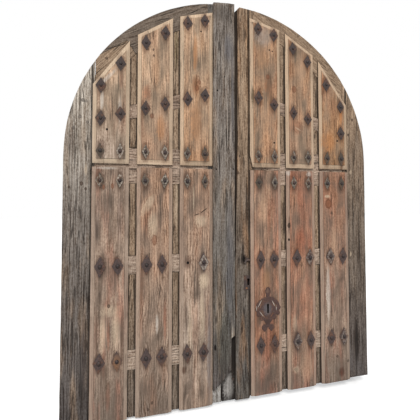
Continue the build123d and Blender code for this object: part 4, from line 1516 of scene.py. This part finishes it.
@dataclass
class Boards:
    """The twelve fielded boards.

    Attributes:
        nodes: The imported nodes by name.
        edges: Left and right edge of each board.
        upper: Heights between which the upper boards' nails lie.
        lower: The same for the lower boards.
        wear: How the boards are worn.
    """

    nodes: dict[str, bpy.types.Object]
    edges: tuple[tuple[float, float], ...] = (
        (-970, -728), (-677, -431), (-381, -140), (147, 394), (438, 679), (725, 976))
    upper: tuple[float, float] = (1688, 2900)
    lower: tuple[float, float] = (0, 1667)
    wear: Wear = Wear(slices=32.0, axis=2, cross=38.0, edge=1.8, depth=2.6)

    def build(self) -> None:
        """Make each board in its own wood."""
        for number, (left, right) in enumerate(self.edges, 1):
            plan = LEFT if number < 4 else RIGHT
            rows = (("upper", UPPER_LOOKS[number - 1], self.upper, CREAM),
                    ("lower", LOWER_LOOKS[number - 1], self.lower, BLEACHED))
            for row, look, (low, high), rim in rows:
                wood = WeatheredWood(
                    f"{row}_wood_{number}", look.heights(), warm=look.warm, warm_share=look.warm_share,
                    figure=look.figure, seed=(10.0 if row == "upper" else 20.0) + number * 1.3, rim=rim,
                    rim_strength=look.rim, depth=BOARD_FRONT, fielded=True, marks=look.marks,
                    nails=plan.on_boards(low, high, left, right))
                node = self.nodes[f"{plan.side}_{row}_board_{number}"]
                self.wear.make(node, f"{plan.side}_leaf", f"{row}_boards", wood.material(), number * 1.7)


@dataclass
class Ironwork:
    """Plates, nails, hinges, locks and bolts.

    Attributes:
        nodes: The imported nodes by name.
        plates: Width and height of the plates of each kind.
        heads: Radius and rise of the nail heads of each kind.
    """

    nodes: dict[str, bpy.types.Object]
    plates: dict[str, tuple[float, float]] = field(default_factory=lambda: {
        "upper": (71, 107), "middle": (56, 112), "lower": (77, 139)})
    heads: dict[str, tuple[float, float]] = field(default_factory=lambda: {
        "upper": (11.5, 9.0), "middle": (13.0, 10.0), "lower": (15.0, 11.5)})

    def build(self) -> None:
        """Make and dress the iron."""
        plain = ForgedIron("forged_iron", IRON, RUSTED).material()
        finishes = {
            "upper": ForgedIron("upper_plate_iron", IRON, RUSTED).material(),
            "middle": ForgedIron(
                "middle_plate_iron", tone(78, 68, 58), tone(96, 74, 58), plate=(28, 56), rims=(
                    (120, 151, 0.85), (146, 151, 0.85), (165, 152, 0.7), (187.6, 153, 0.4), (98.5, 180, 0.5),
                    (120, 180, 0.9), (164.5, 180, 0.9), (145.5, 180, 0.3), (187.5, 180, 0.55),
                    (206, 181, 0.3),
                    (258, 155, 0.5), (275, 156, 0.4), (293, 156, 0.5), (308, 157, 0.4), (275, 182, 0.4),
                    (294, 182, 0.5), (308, 183, 0.5), (327, 183, 0.4))).material(),
            "lower": ForgedIron(
                "lower_plate_iron", tone(74, 61, 58), RUSTED, plate=(38, 69), rims=(
                    (204, 263, 0.7), (310, 257, 0.4), (331, 256, 0.45), (299, 342, 0.4), (345, 337, 0.4)),
                marks=(wash(116.8, 362.7, 4.5, 8.5, AMBER, 0.45),)).material(),
        }
        heads = ForgedIron("nail_iron", tone(46, 37, 36), tone(66, 49, 43), shine=0.42).material()
        for plan in (LEFT, RIGHT):
            self.set_plates(plan, finishes)
            self.set_nails(plan, heads)
            self.strap_nails(plan, heads)
            dress(self.nodes, [f"{plan.side}_strap_hinges", f"{plan.side}_hinge_pintles"], plain)
        self.keyhole_plates()
        dress(self.nodes, ["lock_case", "lock_bolt", "small_lock_case", "small_lock_bolt", "bolt_keepers",
                           "bolt_guides", "foot_bolt", "head_bolt"], plain)

    def set_plates(self, plan: LeafPlan, finishes: dict[str, bpy.types.Material]) -> None:
        """Forge every diamond plate of a leaf, each a little different.

        Args:
            plan: Where the leaf's nails are.
            finishes: Materials by the kind of plate.
        """
        sheets = []
        for slot_number, (kind, places) in enumerate(plan.rows().items()):
            wide, tall = self.plates[kind]
            for number, (x, z) in enumerate(places):
                sheets.append(self.plate(x, z, wide, tall, number + slot_number * 7.0, finishes[kind]))
        piece = Bench.joined(sheets, f"{plan.side}_plates_forged")
        Bench.wear(piece, size=15, depth=1.8, stretch=EVENLY, seed=3.0)
        Bench.smooth(piece, 25)
        self.hang(piece, f"{plan.side}_leaf", f"{plan.side}_diamond_plates")

    def plate(self, x: float, z: float, wide: float, tall: float, seed: float,
              finish: bpy.types.Material) -> bpy.types.Object:
        """Forge one diamond plate with a flat rim and a low middle.

        Args:
            x: Distance across the door.
            z: Height on the door.
            wide: Width in millimetres.
            tall: Height in millimetres.
            seed: Which of the small differences it has.
            finish: The material.

        Returns:
            The plate.
        """
        bpy.ops.object.select_all(action="DESELECT")
        bpy.ops.mesh.primitive_cylinder_add(vertices=4, radius=0.5, depth=1.0, location=(0, 0, 0))
        piece = bpy.context.active_object
        piece.rotation_euler = (math.radians(90), 0.0, 0.0)
        Bench.settle(piece)
        bpy.ops.object.mode_set(mode="EDIT")
        bpy.ops.mesh.select_all(action="DESELECT")
        bpy.ops.object.mode_set(mode="OBJECT")
        for face in piece.data.polygons:
            face.select = face.normal.y < -0.9
        bpy.ops.object.mode_set(mode="EDIT")
        bpy.ops.mesh.select_mode(type="FACE")
        bpy.ops.mesh.inset(thickness=0.09, depth=0.0)
        bpy.ops.mesh.inset(thickness=0.05, depth=0.7)
        bpy.ops.mesh.select_all(action="SELECT")
        bpy.ops.mesh.subdivide(number_cuts=2)
        bpy.ops.object.mode_set(mode="OBJECT")
        size = 1.0 + 0.05 * math.sin(seed * 2.1)
        low = min(vertex.co.y for vertex in piece.data.vertices)
        high = max(vertex.co.y for vertex in piece.data.vertices)
        piece.scale = (wide * size * MILLIMETRE, SHEET * MILLIMETRE / (high - low),
                       tall * (1.0 + 0.04 * math.sin(seed * 3.3)) * MILLIMETRE)
        piece.rotation_euler = (0.0, math.radians(3.0 * math.sin(seed * 2.4)), 0.0)
        seat = Vector((0, high * SHEET * MILLIMETRE / (high - low), 0))
        piece.location = spot(x, BOARD_FRONT, z) - seat
        Bench.settle(piece)
        piece.data.materials.append(finish)
        return piece

    def set_nails(self, plan: LeafPlan, finish: bpy.types.Material) -> None:
        """Forge every nail of a leaf: a faceted head in front, a clenched point behind.

        Args:
            plan: Where the leaf's nails are.
            finish: The material.
        """
        parts = []
        for kind, places in plan.rows().items():
            radius, rise = self.heads[kind]
            for number, (x, z) in enumerate(places):
                swell = 1.0 + 0.09 * math.sin(number * 2.7)
                parts.append(self.head(x, NAIL_SEAT, z, radius * swell, rise, facing=1))
                parts.append(self.clenched_point(x, z, number * 47.0))
        piece = Bench.joined(parts, f"{plan.side}_nails_forged")
        Bench.wear(piece, size=9, depth=1.6, stretch=EVENLY, seed=5.0)
        Bench.smooth(piece, 24)
        piece.data.materials.append(finish)
        self.hang(piece, f"{plan.side}_leaf", f"{plan.side}_forged_nails")

    def head(self, x: float, y: float, z: float, radius: float, rise: float, facing: int) -> bpy.types.Object:
        """Forge one domed head; facing 1 looks to the front and -1 to the back.

        Args:
            x: Distance across the door.
            y: Depth on the door.
            z: Height on the door.
            radius: Its radius in millimetres.
            rise: How far it stands out in millimetres.
            facing: 1 for the front, -1 for the back.

        Returns:
            The head.
        """
        bpy.ops.object.select_all(action="DESELECT")
        bpy.ops.mesh.primitive_uv_sphere_add(segments=12, ring_count=8, radius=1.0, location=(0, 0, 0))
        piece = bpy.context.active_object
        bpy.ops.object.mode_set(mode="EDIT")
        bpy.ops.mesh.select_all(action="SELECT")
        bpy.ops.mesh.bisect(plane_co=(0, 0, 0), plane_no=(0, 0, -1), use_fill=True, clear_outer=True)
        bpy.ops.object.mode_set(mode="OBJECT")
        piece.rotation_euler = (math.radians(90 * facing), 0.0, 0.0)
        Bench.settle(piece)
        piece.scale = (radius * MILLIMETRE, rise * MILLIMETRE, radius * 1.06 * MILLIMETRE)
        piece.location = spot(x, y, z)
        Bench.settle(piece)
        return piece

    def clenched_point(self, x: float, z: float, turn: float) -> bpy.types.Object:
        """Bend the point of one nail over on the back of the framing.

        Args:
            x: Distance across the door.
            z: Height on the door.
            turn: How it is turned.

        Returns:
            The point.
        """
        bpy.ops.object.select_all(action="DESELECT")
        bpy.ops.mesh.primitive_cone_add(vertices=4, radius1=5.4, radius2=1.4, depth=34, location=(0, 0, 0))
        piece = bpy.context.active_object
        bpy.ops.object.mode_set(mode="EDIT")
        bpy.ops.mesh.select_all(action="SELECT")
        bpy.ops.mesh.bisect(plane_co=(0, 0, -8), plane_no=(0, 0, 1))
        bpy.ops.mesh.bisect(plane_co=(0, 0, 6), plane_no=(0, 0, 1))
        bpy.ops.object.mode_set(mode="OBJECT")
        Bench.only(piece)
        piece.rotation_euler = (0.0, math.radians(14 * math.sin(turn) + (90 if turn % 3 > 2 else 0)), 0.0)
        piece.scale = (MILLIMETRE, MILLIMETRE, MILLIMETRE)
        piece.location = spot(x, FRAMING_BACK, z - 10)
        Bench.settle(piece)
        return piece

    def strap_nails(self, plan: LeafPlan, finish: bpy.types.Material) -> None:
        """Nail the strap hinges to the back of a leaf.

        Args:
            plan: Where the leaf's nails are.
            finish: The material.
        """
        parts = []
        for height in STRAP_HEIGHTS:
            for number in range(STRAP_NAILS):
                x = plan.outer * (HINGE_AXIS - STRAP_END - number * STRAP_STEP)
                z = height + STRAP_STAGGER * (-1) ** number
                parts.append(self.head(x, STRAP_BACK, z, radius=8.0, rise=5.0, facing=-1))
        piece = Bench.joined(parts, f"{plan.side}_strap_nails")
        Bench.wear(piece, size=8, depth=1.0, stretch=EVENLY, seed=6.0)
        Bench.smooth(piece, 24)
        piece.data.materials.append(finish)
        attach(piece, f"{plan.side}_leaf")

    def keyhole_plates(self) -> None:
        """Forge the two keyhole plates and what is left of the pull."""
        shield = ForgedIron(
            "escutcheon_iron", tone(76, 56, 51), RUSTED, marks=(
                wash(267.6, 309, 4.4, 6.5, SLATE, 0.6),
                wash(259.8, 304, 0.36, 4.4, CHALK, 0.7, 30.0), wash(256.6, 308.4, 0.34, 2.6, CHALK, 0.6),
                wash(273.6, 303.4, 0.36, 3.6, CHALK, 0.7, -28.0), wash(276.4, 307.8, 0.34, 2.6, CHALK, 0.6),
                wash(261.6, 314.0, 0.36, 3.6, CHALK, 0.6, -38.0),
                wash(272.8, 314.0, 0.36, 2.8, CHALK, 0.6, 34.0),
                stain(267.5, 322, 3, 3, (0.5, 0.5, 0.5), 0.7),
                wash(267.6, 290.6, 1.2, 2.6, tone(120, 96, 80), 0.6))
        ).material()
        small = ForgedIron(
            "small_plate_iron", IRON, RUSTED, rust_share=0.3, depth=-3.0, marks=(
                wash(246.7, 288.2, 1.0, 1.1, RESIN, 0.45),
                stain(251, 283, 0.5, 7, (0.6, 0.36, 0.3), 0.6))).material()
        stub = ForgedIron("pull_iron", tone(92, 82, 78), tone(76, 60, 52)).material()
        for name, finish, edge, slices in (("keyhole_escutcheon", shield, 1.0, 14.0),
                                           ("small_keyhole_plate", small, 0.8, 12.0),
                                           ("pull_staple", stub, 1.2, 8.0)):
            piece = Bench.copied(self.nodes[name], f"{name}_forged")
            Bench.ease_edges(piece, edge, 60)
            Bench.slice(piece, 2, slices)
            Bench.slice(piece, 0, slices)
            Bench.wear(piece, size=16, depth=1.6, stretch=EVENLY, seed=7.0)
            Bench.smooth(piece, 30)
            piece.data.materials.append(finish)
            self.hang(piece, "right_leaf", name)

    def hang(self, piece: bpy.types.Object, body: str, node: str) -> None:
        """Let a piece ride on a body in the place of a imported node.

        Args:
            piece: The piece.
            body: The body that it rides on.
            node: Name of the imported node.
        """
        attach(piece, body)
        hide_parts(node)
        log.info("made %s", piece.name)


def main() -> None:
    """Build the door's looks in order."""
    logging.basicConfig(level=logging.INFO, format="%(message)s")
    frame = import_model()
    nodes = frame["nodes"]
    Studio().build()
    Framing(nodes).build()
    Boards(nodes).build()
    Ironwork(nodes).build()


if __name__ == "__main__":
    main()
